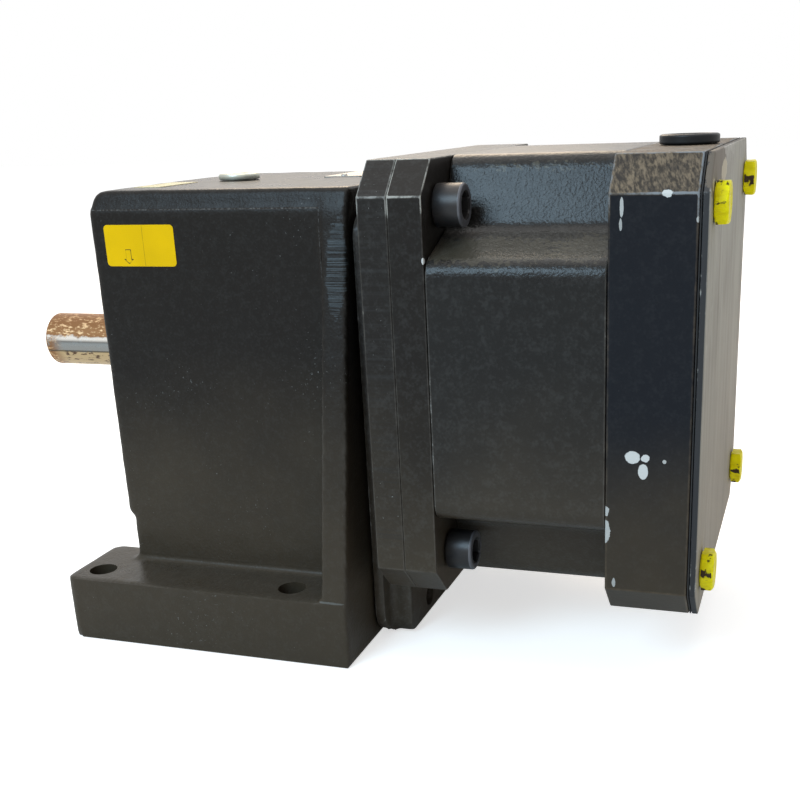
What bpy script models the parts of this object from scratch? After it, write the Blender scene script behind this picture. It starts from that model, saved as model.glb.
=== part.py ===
"""Foot-mounted inline helical gearmotor with a short square servo motor.

The output shaft points along -X, the motor's rear face looks along +X, and the foot stands on Z = 0.
The origin lies on the foot plane, in the middle of the four foot holes, under the output shaft.
Sizes are in millimetres, and MM turns them into Blender's metres.
"""

import math

import bmesh
import bpy
from mathutils import Matrix, Vector

MM = 0.001

# Clearance between pieces that seat on each other, and how far a cutter runs past the face it opens
FIT = 0.3
PAST = 1.0

# Axes
STAGE_CENTRE = 62.0
STAGE_1_TEETH = (14, 43)
STAGE_2_TEETH = (13, 38)
WHEEL_RADIUS = STAGE_CENTRE * STAGE_1_TEETH[1] / sum(STAGE_1_TEETH)
CAVITY_FLOOR = 16.0
BOTTOM_ROOM = 5.23
LAYSHAFT_HEIGHT = CAVITY_FLOOR + WHEEL_RADIUS + BOTTOM_ROOM
SHAFT_HEIGHT = LAYSHAFT_HEIGHT + STAGE_CENTRE

# Foot
FOOT_HOLES_X = 104.0
FOOT_HOLES_Y = 177.0
FOOT_HOLE = 13.5
FOOT_SIDE_MARGIN = 13.5
FOOT_WIDTH = FOOT_HOLES_Y + 2 * FOOT_SIDE_MARGIN
FOOT_HEIGHT = 32.0
FOOT_FRONT_MARGIN = 13.0
FOOT_CORNER = 4.0
EAR_GAP = 113.0
EAR_GAP_CORNER = 10.0
EAR_GAP_SETBACK = 2.0
WALL_ROOT = 5.0

# Gear case
CASE_FRONT = -43.0
CASE_REAR = 84.5
CASE_CORNER = 5.0
CASE_BEVEL_Y = 12.0
CASE_BEVEL_Z = 8.0
FRONT_STEP = 2.6
FRONT_STEP_HEIGHT = 56.0
BAND_THICKNESS = 12.5
CAVITY_RISE = 69.0
CAVITY_TOP = SHAFT_HEIGHT + CAVITY_RISE
CASE_ROOF = 14.0
CASE_HEIGHT = CAVITY_TOP + CASE_ROOF
SIDE_ROOM = 13.23
CAVITY_WIDTH = 2 * (WHEEL_RADIUS + SIDE_ROOM)
CASE_WALL = 11.5
CASE_WIDTH = CAVITY_WIDTH + 2 * CASE_WALL
CAVITY_CORNER = 8.0
MOUTH_SHOULDER = 9.0
MOUTH_WIDTH = CAVITY_WIDTH - 2 * MOUTH_SHOULDER
MOUTH_LENGTH = 13.0
FRONT_WALL = 19.0
WEB_FRONT = 0.0
WEB_REAR = 22.0
SLEEVE_WALL = 6.0
OIL_HOLE = 18.0
OIL_HOLE_SPREAD = 80.0
OIL_HOLE_HEIGHT = 36.0

# Output shaft, its seal boss and its oil seal
SHAFT_DIAMETER = 28.0
SHAFT_END_LENGTH = 60.0
SHAFT_NOSE = -124.5
SHAFT_SEAT = 30.0
SHAFT_COLLAR = 35.0
SHAFT_CHAMFER = 1.5
SHAFT_TAP = 8.5
SHAFT_TAP_DEPTH = 22.0
SHAFT_TAP_CONE = 3.0
SHAFT_TAP_MOUTH = 2.0
SHAFT_TAIL = 53.0
GEAR_SEAT = 29.0
GEAR_SEAT_RUN = 2.0
GEAR_SPACER_WALL = 4.5
BOSS_DIAMETER = 56.0
BOSS_LENGTH = 20.0
BOSS_ROOT = 4.0
BOSS_EDGE = 1.0
OUTPUT_SEAL = 47.0
OUTPUT_SEAL_WIDTH = 8.0
SEAL_INSET = 1.5
SEAL_WALL = 2.0
SEAL_LIP_AT = 0.7
PASSAGE_GAP = 1.5

# Filler plug on the case top
PLUG_X = -3.0
PLUG_HEAD = 18.6
PLUG_HEAD_HEIGHT = 4.2
PLUG_THREAD = 13.0
PLUG_DEPTH = 10.0
PLUG_EDGE = 1.0
PLUG_SOCKET = 8.0
PLUG_SOCKET_SUNK = 2.0

# Plates between gear case and motor
GASKET_THICKNESS = 0.8
COVER_THICKNESS = 13.3
COVER_RIM = 11.0
COVER_WIDTH = MOUTH_WIDTH + 2 * COVER_RIM
COVER_BOTTOM = 3.0
COVER_TOP_EDGE = 8.0
COVER_TOP = CASE_HEIGHT - COVER_TOP_EDGE
COVER_CORNER = 9.0
COVER_LIP = 5.0
NECK_WIDTH = 100.0
NECK_BOTTOM = 20.0
NECK_TOP_EDGE = 9.0
NECK_TOP = COVER_TOP - NECK_TOP_EDGE
LUG_WIDTH = 116.0
LUG_BOTTOM = 4.0
MOTOR_CLEARANCE = 35.0
LUG_TOP_GAP = 2.0
LUG_TOP = MOTOR_CLEARANCE - LUG_TOP_GAP
LUG_REACH = 4.8
LUG_CORNER = 9.0
LUG_HOLE_SPREAD = 82.0
LUG_HOLE_HEIGHT = 10.0
COVER_SCREW_RISES = (-80.0, -20.0, 40.0)
PINION_PASSAGE = 40.0
ADAPTER_THICKNESS = 12.5
ADAPTER_SCREW_Y = 80.0
ADAPTER_SCREW_Z = 92.0

# Motor
MOTOR_SQUARE = 2 * (SHAFT_HEIGHT - MOTOR_CLEARANCE)
MOTOR_FLANGE_THICKNESS = 14.7
MOTOR_CHAMFER = 14.0
BARREL_LENGTH = 74.4
POCKET_WIDTH = 40.5
POCKET_LIP = MOTOR_SQUARE / 2 - POCKET_WIDTH
POCKET_DEPTH = 29.7
POCKET_CORNER = MOTOR_SQUARE / 2 - POCKET_DEPTH
POCKET_LIP_RADIUS = 5.0
POCKET_ROOT_RADIUS = 8.0
BLOCK_LENGTH = 34.2
BLOCK_WALL = 25.0
BLOCK_FLOOR = 15.0
REAR_GASKET_THICKNESS = 0.5
REAR_COVER_THICKNESS = 2.7
TIE_INSET = 19.0
TIE_SPACING = MOTOR_SQUARE - 2 * TIE_INSET
CAP_SETBACK = 19.0
CAP_DIAMETER = 26.4
CAP_HEIGHT = 4.5
CAP_STEM = 19.0
CAP_STEM_DEPTH = 14.0
CAP_EDGE = 1.2
TERMINAL_BLOCK = (12.0, 84.0, 22.0)
TERMINAL_HEIGHT = 50.0
TERMINAL_STUDS_Y = (-30.0, -10.0, 10.0, 30.0)
TERMINAL_WELL = 9.0
TERMINAL_WELL_DEPTH = 5.0

# Stator and rotor
BARREL_WALL = 15.0
STATOR_DIAMETER = MOTOR_SQUARE - 2 * BARREL_WALL
STATOR_RING = 30.0
STATOR_BORE = STATOR_DIAMETER - 2 * STATOR_RING
STATOR_END_ROOM = 12.2
STATOR_LENGTH = BARREL_LENGTH - 2 * STATOR_END_ROOM
STATOR_TEETH = 9
TOOTH_SHARE = 0.2
TOOTH_WIDTH = TOOTH_SHARE * STATOR_BORE
TOOTH_TIP = 3.5
SLOT_OPENING = 4.0
STATOR_YOKE = 7.0
COIL_THICKNESS = 6.5
COIL_OVERHANG = 8.0
COIL_CLEARANCE = 1.0
BUS_RING = 3.0
BUS_RING_INSET = 4.0
AIR_GAP = 1.5
MAGNET_COUNT = 8
MAGNET_THICKNESS = 5.0
MAGNET_SPAN_DEG = 36.0
MAGNET_BAND = 1.5
ROTOR_SHAFT = 34.0
ROTOR_SEAT = 30.0
ROTOR_NECK = 24.0
PINION_SEAT = 16.0
ENCODER_SEAT = 12.0
ROTOR_SEAL = 52.0
ROTOR_SEAL_WIDTH = 7.0
ROTOR_TAIL_GAP = 6.0
ENCODER_HUB_GAP = 3.0
ENCODER_HUB = 20.0
ENCODER_HUB_LENGTH = 4.0
ENCODER_DISC = 48.0
ENCODER_DISC_THICKNESS = 1.5
ENCODER_BOARD = 60.0
ENCODER_BOARD_HOLE = 22.0
ENCODER_BOARD_THICKNESS = 2.0

# Fasteners: thread, head diameter or width across flats, head height, then a visible socket's width
FLANGE_SCREW = (12.0, 18.0, 12.0, 10.0)
COVER_SCREW = (6.0, 10.0, 6.0)
ADAPTER_SCREW = (8.0, 13.0, 8.0)
REAR_BOLT = (12.0, 19.0, 7.5)
REAR_BOLT_LENGTH = 20.0
FLANGE_GRIP = 26.0
COVER_GRIP = 8.0
ADAPTER_GRIP = 9.0
SUNK = 0.5
HOLE_OVER_THREAD = 1.0
HEAD_CLEARANCE = 0.6

# Bearings: bore, outside diameter and width. Shoulder and ball are shares of the radial space, and the
# ball spacing and the cage's width and thickness are shares of a ball.
OUTPUT_BEARING = (30.0, 62.0, 16.0)
LAYSHAFT_BEARING = (17.0, 35.0, 10.0)
ROTOR_FRONT_BEARING = (30.0, 55.0, 13.0)
ROTOR_REAR_BEARING = (20.0, 42.0, 12.0)
LARGE_BEARING = 50.0
SHOULDER_SHARE = 0.22
BALL_SHARE = 0.56
BALL_PITCH = 2.0
CAGE_WIDTH = 0.5
CAGE_THICKNESS = 0.25
CAGE_GAP = 0.5
BEARING_SHOULDER = 5.0
BEARING_SUNK = 0.2
CLIP_LAND = 4.0
CLIP_GROOVE = 2.0
CLIP_GROOVE_DEPTH = 1.5
CIRCLIP_PLAY = 0.45
CIRCLIP = 1.5
CIRCLIP_RIM = 3.0
BEARING_CLIP_RIM = 4.0

# Gears: both stages share the centre distance, and the small wheel is made fuller at the tip
PRESSURE_ANGLE = math.radians(20.0)
HELIX_ANGLE = math.radians(15.0)
PROFILE_SHIFT = 0.3
DEDENDUM = 1.25
BACKLASH = 0.5
STAGE_1_FACE = (56.0, 78.0)
STAGE_2_FACE = (26.0, 50.0)
PINION_EXTRA = 1.0
PINION_FLANK_POINTS = 3
WHEEL_FLANK_POINTS = 2
PINION_SLICES = 2
WHEEL_SLICES = 1
OUTPUT_KEY = (8.0, 7.0, 20.0)
LAYSHAFT_KEY = (6.0, 6.0, 16.0)
KEY_LIFT = 0.1
LAYSHAFT_SEAT = 22.0
LAYSHAFT_COLLAR = 24.0
LAYSHAFT_SPACER = 26.0

# Facets of round pieces, by their size, and of rounded corners
FINE_FACETS = 48
ROUND = 24
BEARING_ROUND = 20
SMALL_FACETS = 16
TINY_FACETS = 8
HEX_FACETS = 6
CORNER_FACETS = 3
CAST_CORNER_FACETS = 2

# Stations along X that follow from the sizes above
FOOT_FRONT = -FOOT_HOLES_X / 2 - FOOT_FRONT_MARGIN
GASKET_X = CASE_REAR + FIT
COVER_X = GASKET_X + GASKET_THICKNESS + FIT
ADAPTER_X = COVER_X + COVER_THICKNESS + FIT
FLANGE_X = ADAPTER_X + ADAPTER_THICKNESS + FIT
BARREL_X = FLANGE_X + MOTOR_FLANGE_THICKNESS + FIT
BLOCK_X = BARREL_X + BARREL_LENGTH + FIT
CAP_X = BLOCK_X + CAP_SETBACK
REAR_GASKET_X = BLOCK_X + BLOCK_LENGTH + FIT
REAR_COVER_X = REAR_GASKET_X + REAR_GASKET_THICKNESS + FIT
REAR_FACE = REAR_COVER_X + REAR_COVER_THICKNESS
OUTPUT_FRONT_BEARING_X = CASE_FRONT + BEARING_SHOULDER
OUTPUT_REAR_BEARING_X = WEB_REAR - CLIP_LAND - OUTPUT_BEARING[2]
LAYSHAFT_FRONT_BEARING_X = WEB_REAR - BEARING_SUNK - LAYSHAFT_BEARING[2]
LAYSHAFT_REAR_BEARING_X = COVER_X - FIT
ROTOR_FRONT_BEARING_X = BARREL_X - FIT - BEARING_SUNK - ROTOR_FRONT_BEARING[2]
ROTOR_REAR_BEARING_X = BLOCK_X + FIT
STATOR_X = BARREL_X + (BARREL_LENGTH - STATOR_LENGTH) / 2
ROTOR_SEAL_X = ADAPTER_X + SEAL_INSET

PARTS = "gearmotor"
FORMERS = "gearmotor_formers"


def clear_scene():
    """Empty the scene and make one collection for the pieces and one for cutters and formers."""
    for obj in list(bpy.data.objects):
        bpy.data.objects.remove(obj, do_unlink=True)
    for name in (PARTS, FORMERS):
        bpy.context.scene.collection.children.link(bpy.data.collections.new(name))


def material(name, colour, roughness, metallic=0.0):
    """A Principled material with one colour."""
    made = bpy.data.materials.new(name)
    made.use_nodes = True
    shader = made.node_tree.nodes["Principled BSDF"]
    shader.inputs["Base Color"].default_value = (*colour, 1.0)
    shader.inputs["Roughness"].default_value = roughness
    shader.inputs["Metallic"].default_value = metallic
    return made


def axis_empty(name, height):
    """An empty on a joint's axis, which the pieces of that body are parented to."""
    empty = bpy.data.objects.new(name, None)
    empty.location = (0.0, 0.0, height * MM)
    bpy.data.collections[PARTS].objects.link(empty)
    return empty


def place(obj, parent=None, height=0.0, finish=None):
    """Link an object as a piece (with a finish) or as a hidden former (without one)."""
    if finish is None:
        bpy.data.collections[FORMERS].objects.link(obj)
        obj.hide_render = True
        obj.display_type = "WIRE"
    else:
        bpy.data.collections[PARTS].objects.link(obj)
        obj.data.materials.append(finish)
    if parent is not None:
        obj.parent = parent
    else:
        obj.location.z = height * MM
    return obj


def rounded(corners, facets=CORNER_FACETS):
    """Outline through corners given as (u, v, radius), each sharp corner replaced by its tangent arc."""
    outline = []
    count = len(corners)
    for index, (u, v, radius) in enumerate(corners):
        here = Vector((u, v))
        if radius <= 0.0:
            outline.append((u, v))
            continue
        before = (Vector(corners[index - 1][:2]) - here).normalized()
        after = (Vector(corners[(index + 1) % count][:2]) - here).normalized()
        half = before.angle(after) / 2
        centre = here + (before + after).normalized() * (radius / math.sin(half))
        start = here + before * (radius / math.tan(half)) - centre
        end = here + after * (radius / math.tan(half)) - centre
        sweep = start.angle_signed(end)
        for step in range(facets + 1):
            turn = Matrix.Rotation(-sweep * step / facets, 2)
            outline.append(tuple(centre + turn @ start))
    return outline


def rectangle(half_width, low, high, radius):
    """Corners of a rectangle that is symmetric across the first coordinate."""
    return [
        (half_width, low, radius),
        (half_width, high, radius),
        (-half_width, high, radius),
        (-half_width, low, radius),
    ]


def chamfered_square(side, chamfer):
    """Corner points of a square centred on the axis with its four corners cut at 45 degrees."""
    half = side / 2
    inner = half - chamfer
    points = []
    for sign_y, sign_z in ((1, 1), (-1, 1), (-1, -1), (1, -1)):
        pair = [(half * sign_y, inner * sign_z), (inner * sign_y, half * sign_z)]
        points += pair if sign_y == sign_z else pair[::-1]
    return points


def circle(radius, facets=ROUND, centre=(0.0, 0.0)):
    """Points of a circle, the first one on the first coordinate's positive side."""
    u, v = centre
    return [(u + radius * math.cos(turn), v + radius * math.sin(turn)) for turn in full_turns(facets)]


def corner_places(spacing_u, spacing_v=None):
    """The four corners of a rectangular hole pattern centred on the axis."""
    half_u = spacing_u / 2
    half_v = (spacing_v or spacing_u) / 2
    return [(u, v) for u in (-half_u, half_u) for v in (-half_v, half_v)]


def evaluated_mesh(obj):
    """Mesh of an object with its modifiers applied, its loose caps welded and its transform kept apart."""
    bpy.context.view_layer.update()
    graph = bpy.context.evaluated_depsgraph_get()
    mesh = bpy.data.meshes.new_from_object(obj.evaluated_get(graph))
    bm = bmesh.new()
    bm.from_mesh(mesh)
    bmesh.ops.remove_doubles(bm, verts=bm.verts, dist=0.00001)
    bm.to_mesh(mesh)
    bm.free()
    return mesh


def plate(name, outlines, start, end, along="X", **where):
    """Flat piece: filled outlines (the first is the edge, the others are holes) from start to end.

    Outlines are in (Y, Z) for a plate that is thick along X, and in (X, Y) for one thick along Z.
    """
    curve = bpy.data.curves.new(name, "CURVE")
    curve.dimensions = "2D"
    curve.fill_mode = "BOTH"
    curve.extrude = (end - start) / 2 * MM
    for outline in outlines:
        spline = curve.splines.new("POLY")
        spline.points.add(len(outline) - 1)
        for point, (u, v) in zip(spline.points, outline):
            point.co = (u * MM, v * MM, 0.0, 1.0)
        spline.use_cyclic_u = True
    drawn = bpy.data.objects.new(name, curve)
    bpy.context.scene.collection.objects.link(drawn)
    mesh = evaluated_mesh(drawn)
    bpy.data.objects.remove(drawn, do_unlink=True)
    mesh.transform(Matrix.Translation((0.0, 0.0, (start + end) / 2 * MM)))
    if along == "X":
        mesh.transform(Matrix(((0, 0, 1, 0), (1, 0, 0, 0), (0, 1, 0, 0), (0, 0, 0, 1))))
    return place(bpy.data.objects.new(name, mesh), **where)


def turned(name, profile, facets=ROUND, **where):
    """Turned piece about the X axis: the profile is a list of (x, radius).

    It runs along the outer side from front to rear. A ring's profile then comes back along its bore.
    """
    closed = all(radius > 0.0 for _, radius in profile)
    mesh = bpy.data.meshes.new(name)
    points = [(x * MM, radius * MM, 0.0) for x, radius in reversed(profile)]
    edges = [(k, k + 1) for k in range(len(points) - 1)]
    if closed:
        edges.append((len(points) - 1, 0))
    mesh.from_pydata(points, edges, [])
    obj = place(bpy.data.objects.new(name, mesh), **where)
    screw = obj.modifiers.new("Turn", "SCREW")
    screw.axis = "X"
    screw.steps = facets
    screw.render_steps = facets
    screw.use_merge_vertices = True
    screw.merge_threshold = 0.00001
    screw.use_smooth_shade = False
    return obj


def ring(name, start, end, bore, outside, facets=ROUND, **where):
    """Plain ring or sleeve from start to end, by diameters."""
    profile = [(start, outside / 2), (end, outside / 2), (end, bore / 2), (start, bore / 2)]
    return turned(name, profile, facets, **where)


def bore(name, sizes, start, end, **where):
    """Cutter for a bearing's seat, with the same facets as its outer ring."""
    radius = sizes[1] / 2 + FIT
    profile = [(start, 0.0), (start, radius), (end, radius), (end, 0.0)]
    return turned(name, profile, bearing_facets(sizes), **where)


def bars(name, places, start, end, diameter, facets=SMALL_FACETS, along="X", **where):
    """Equal round bars in one object, used as pins, bolts' shanks or drills."""
    bm = bmesh.new()
    length = end - start
    middle = (start + end) / 2
    for u, v in places:
        if along == "X":
            tipped = Matrix.Rotation(math.pi / 2, 4, "Y")
            matrix = Matrix.Translation(Vector((middle, u, v)) * MM) @ tipped
        else:
            matrix = Matrix.Translation(Vector((u, v, middle)) * MM)
        bmesh.ops.create_cone(
            bm,
            cap_ends=True,
            segments=facets,
            radius1=diameter / 2 * MM,
            radius2=diameter / 2 * MM,
            depth=length * MM,
            matrix=matrix,
        )
    mesh = bpy.data.meshes.new(name)
    bm.to_mesh(mesh)
    bm.free()
    return place(bpy.data.objects.new(name, mesh), **where)


def block(name, centre, size, **where):
    """Rectangular block."""
    bm = bmesh.new()
    bmesh.ops.create_cube(bm, size=1.0)
    bmesh.ops.scale(bm, vec=Vector(size) * MM, verts=bm.verts)
    bmesh.ops.translate(bm, vec=Vector(centre) * MM, verts=bm.verts)
    mesh = bpy.data.meshes.new(name)
    bm.to_mesh(mesh)
    bm.free()
    return place(bpy.data.objects.new(name, mesh), **where)


def combine(obj, operation, *others):
    """Join formers to an object, cut them from it or keep only what they share, with live Booleans."""
    for other in others:
        boolean = obj.modifiers.new(other.name, "BOOLEAN")
        boolean.operation = operation
        boolean.solver = "EXACT"
        boolean.object = other
    return obj


def cut(obj, *cutters):
    """Cut formers from an object."""
    return combine(obj, "DIFFERENCE", *cutters)


def join(obj, *formers):
    """Fuse formers with an object."""
    return combine(obj, "UNION", *formers)


def cluster(name, pattern, moves, **where):
    """One object that holds a copy of a pattern object's shape at each of the given matrices."""
    mesh = evaluated_mesh(pattern)
    bm = bmesh.new()
    for move in moves:
        copy = mesh.copy()
        copy.transform(move)
        bm.from_mesh(copy)
        bpy.data.meshes.remove(copy)
    joined = bpy.data.meshes.new(name)
    bm.to_mesh(joined)
    bm.free()
    bpy.data.objects.remove(pattern, do_unlink=True)
    return place(bpy.data.objects.new(name, joined), **where)


def copies(name, pattern, places, finish, height):
    """A numbered object at each (y, z) place, all with the shape of one pattern object."""
    mesh = evaluated_mesh(pattern)
    bpy.data.objects.remove(pattern, do_unlink=True)
    mesh.materials.clear()
    mesh.materials.append(finish)
    for number, (u, v) in enumerate(places, 1):
        obj = bpy.data.objects.new(f"{name}_{number}", mesh)
        obj.location = Vector((0.0, u, v + height)) * MM
        bpy.data.collections[PARTS].objects.link(obj)


def moved(places):
    """Matrices that move a pattern to each (y, z) place."""
    return [Matrix.Translation(Vector((0.0, u, v)) * MM) for u, v in places]


def turned_round(count):
    """Matrices that turn a pattern about X to equal places once round the axis."""
    return [Matrix.Rotation(turn, 4, "X") for turn in full_turns(count)]


def full_turns(count, first=0.0):
    """Equal angles once round the axis."""
    return [first + 2 * math.pi * k / count for k in range(count)]


def across_corners(across_flats):
    """A hexagon's width across its corners."""
    return across_flats / math.cos(math.pi / HEX_FACETS)


def cap_screw(name, sizes, head_x, length, facets):
    """Pattern of a cap screw on the X axis, without a socket. Its head stands on head_x, towards +X."""
    thread, head, head_height = sizes[:3]
    profile = [
        (head_x - length, 0.0),
        (head_x - length, thread / 2),
        (head_x, thread / 2),
        (head_x, head / 2),
        (head_x + head_height, head / 2),
        (head_x + head_height, 0.0),
    ]
    return turned(name + "_pattern", profile, facets)


def hexagon_bolt(name, sizes, head_x, length):
    """Pattern of a hexagon bolt on the X axis. Its head stands on head_x, towards +X."""
    thread, across_flats, head_height = sizes
    corners = across_corners(across_flats)
    pattern = bars(name + "_pattern", [(0.0, 0.0)], head_x, head_x + head_height, corners, HEX_FACETS)
    inside_head = head_x + head_height / 2
    shank = bars(name + "_shank", [(0.0, 0.0)], head_x - length, inside_head, thread, TINY_FACETS)
    return join(pattern, shank)


def bearing_facets(sizes):
    """Facets of a bearing's rings and of the bore that holds it."""
    return BEARING_ROUND if sizes[1] > LARGE_BEARING else SMALL_FACETS


def bearing(name, sizes, start, outer, inner, steel, with_balls):
    """Ball bearing as an outer ring, an inner ring and the cage between them.

    outer and inner say where the rings go: a parent empty or a height. The cage goes with the outer ring.
    It holds its balls where with_balls is true, and otherwise fills the space between the two shoulders.
    """
    bore, outside, width = sizes
    facets = bearing_facets(sizes)
    radial = (outside - bore) / 2
    ball = BALL_SHARE * radial
    pitch = (outside + bore) / 2
    shoulder = SHOULDER_SHARE * radial
    groove = (pitch - ball) / 2 - FIT
    middle = start + width / 2
    inner_profile = [
        (start, bore / 2 + shoulder),
        (middle, groove),
        (start + width, bore / 2 + shoulder),
        (start + width, bore / 2 + FIT),
        (start, bore / 2 + FIT),
    ]
    turned(name + "_inner", inner_profile, facets, finish=steel, **inner)
    outer_profile = [
        (start, outside / 2),
        (start + width, outside / 2),
        (start + width, outside / 2 - shoulder),
        (middle, (pitch + ball) / 2 + FIT),
        (start, outside / 2 - shoulder),
    ]
    turned(name + "_outer", outer_profile, facets, finish=steel, **outer)
    half = CAGE_WIDTH * ball / 2
    if not with_balls:
        narrow = 2 * (shoulder + CAGE_GAP)
        cage = (middle - half, middle + half, bore + narrow, outside - narrow)
        ring(name + "_cage", *cage, facets, finish=steel, **outer)
        return
    count = int(math.pi * pitch / (BALL_PITCH * ball))
    thin = CAGE_THICKNESS * ball
    cage = (middle - half, middle + half, pitch - thin, pitch + thin)
    cage_ring = ring(name + "_cage", *cage, count, finish=steel, **outer)
    bm = bmesh.new()
    for turn in full_turns(count):
        spot = Vector((middle, pitch / 2 * math.cos(turn), pitch / 2 * math.sin(turn)))
        there = Matrix.Translation(spot * MM)
        bmesh.ops.create_icosphere(bm, subdivisions=1, radius=ball / 2 * MM, matrix=there)
    mesh = bpy.data.meshes.new(name + "_balls")
    bm.to_mesh(mesh)
    bm.free()
    join(cage_ring, place(bpy.data.objects.new(name + "_balls", mesh), **outer))


def tooth_form(teeth, pinion, centre_distance, pair):
    """Radii and the half angle of a tooth at each: root, involute from the base circle, tip.

    The involute's half angle at a radius is the pitch half angle plus inv(working) minus inv(there).
    """
    module = 2 * centre_distance / sum(pair)
    normal_module = module * math.cos(HELIX_ANGLE)
    pressure = math.atan(math.tan(PRESSURE_ANGLE) / math.cos(HELIX_ANGLE))
    shift = PROFILE_SHIFT if pinion else -PROFILE_SHIFT
    pitch = teeth * module / 2
    base = pitch * math.cos(pressure)
    tip = pitch + (1.0 + shift) * normal_module
    root = pitch - (DEDENDUM - shift) * normal_module
    thickness = math.pi * module / 2 + 2 * shift * normal_module * math.tan(pressure) - BACKLASH / 2
    half = thickness / (2 * pitch)

    def half_angle(radius):
        there = math.acos(min(1.0, base / radius))
        return half + (math.tan(pressure) - pressure) - (math.tan(there) - there)

    points = PINION_FLANK_POINTS if pinion else WHEEL_FLANK_POINTS
    first = max(base, root)
    radii = [first + (tip - first) * k / (points - 1) for k in range(points)]
    flank = [(radius, half_angle(radius)) for radius in radii]
    flank[0] = (root, half_angle(first))
    return flank, pitch


def gear(name, teeth, pinion, pair, face, first_tooth, slices, **where):
    """Helical gear: its tooth outline is extruded along X in slices that each turn with the helix."""
    flank, pitch = tooth_form(teeth, pinion, STAGE_CENTRE, pair)
    hand = 1.0 if pinion else -1.0
    start, end = face
    middle = (start + end) / 2
    lead = hand * math.tan(HELIX_ANGLE) / pitch
    bm = bmesh.new()
    outline = []
    for turn in full_turns(teeth, first_tooth + lead * (start - middle)):
        outline += [(radius, turn - angle) for radius, angle in flank]
        outline += [(radius, turn + angle) for radius, angle in reversed(flank)]
    corners = [bm.verts.new(Vector((start, r * math.cos(a), r * math.sin(a))) * MM) for r, a in outline]
    section = bm.faces.new(corners)
    for _ in range(slices):
        grown = bmesh.ops.extrude_face_region(bm, geom=[section])["geom"]
        section = next(item for item in grown if isinstance(item, bmesh.types.BMFace))
        verts = [item for item in grown if isinstance(item, bmesh.types.BMVert)]
        bmesh.ops.translate(bm, vec=((end - start) / slices * MM, 0.0, 0.0), verts=verts)
        twist = Matrix.Rotation(lead * (end - start) / slices, 3, "X")
        bmesh.ops.rotate(bm, cent=(0.0, 0.0, 0.0), matrix=twist, verts=verts)
    outer = (start + PAST / 2) * MM
    between = [
        item
        for item in bm.faces
        if len(item.verts) > 4 and item is not section and item.calc_center_median().x > outer
    ]
    bmesh.ops.delete(bm, geom=between, context="FACES_ONLY")
    bmesh.ops.recalc_face_normals(bm, faces=bm.faces)
    mesh = bpy.data.meshes.new(name)
    bm.to_mesh(mesh)
    bm.free()
    return place(bpy.data.objects.new(name, mesh), **where)


def pinion_gear(name, pair, face, mesh_angle, parent, finish):
    """The small gear of a pair, a little wider than its face, with a tooth at the mesh angle."""
    wide = (face[0] - PINION_EXTRA, face[1] + PINION_EXTRA)
    return gear(name, pair[0], True, pair, wide, mesh_angle, PINION_SLICES, parent=parent, finish=finish)


def wheel_gear(name, pair, face, mesh_angle, parent, finish):
    """The large gear of a pair, with a tooth space at the mesh angle."""
    first = mesh_angle + math.pi / pair[1]
    return gear(name, pair[1], False, pair, face, first, WHEEL_SLICES, parent=parent, finish=finish)


def gear_bore(name, face, seat, parent):
    """Cutter for a gear's bore."""
    start, end = face[0] - PINION_EXTRA - PAST, face[1] + PINION_EXTRA + PAST
    return bars(name + "_bore", [(0.0, 0.0)], start, end, seat + 2 * FIT, ROUND, parent=parent)


def key(name, sizes, middle, seat, finish, parent):
    """Parallel key on top of a shaft seat, and the cutter of its keyway in shaft and gear."""
    width, height, length = sizes
    centre = (middle, 0.0, seat / 2 + KEY_LIFT * height)
    block(name, centre, (length, width, height), finish=finish, parent=parent)
    way = (length + 2 * FIT, width + 2 * FIT, height + 2 * FIT)
    return block(name + "_way", centre, way, parent=parent)


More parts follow.
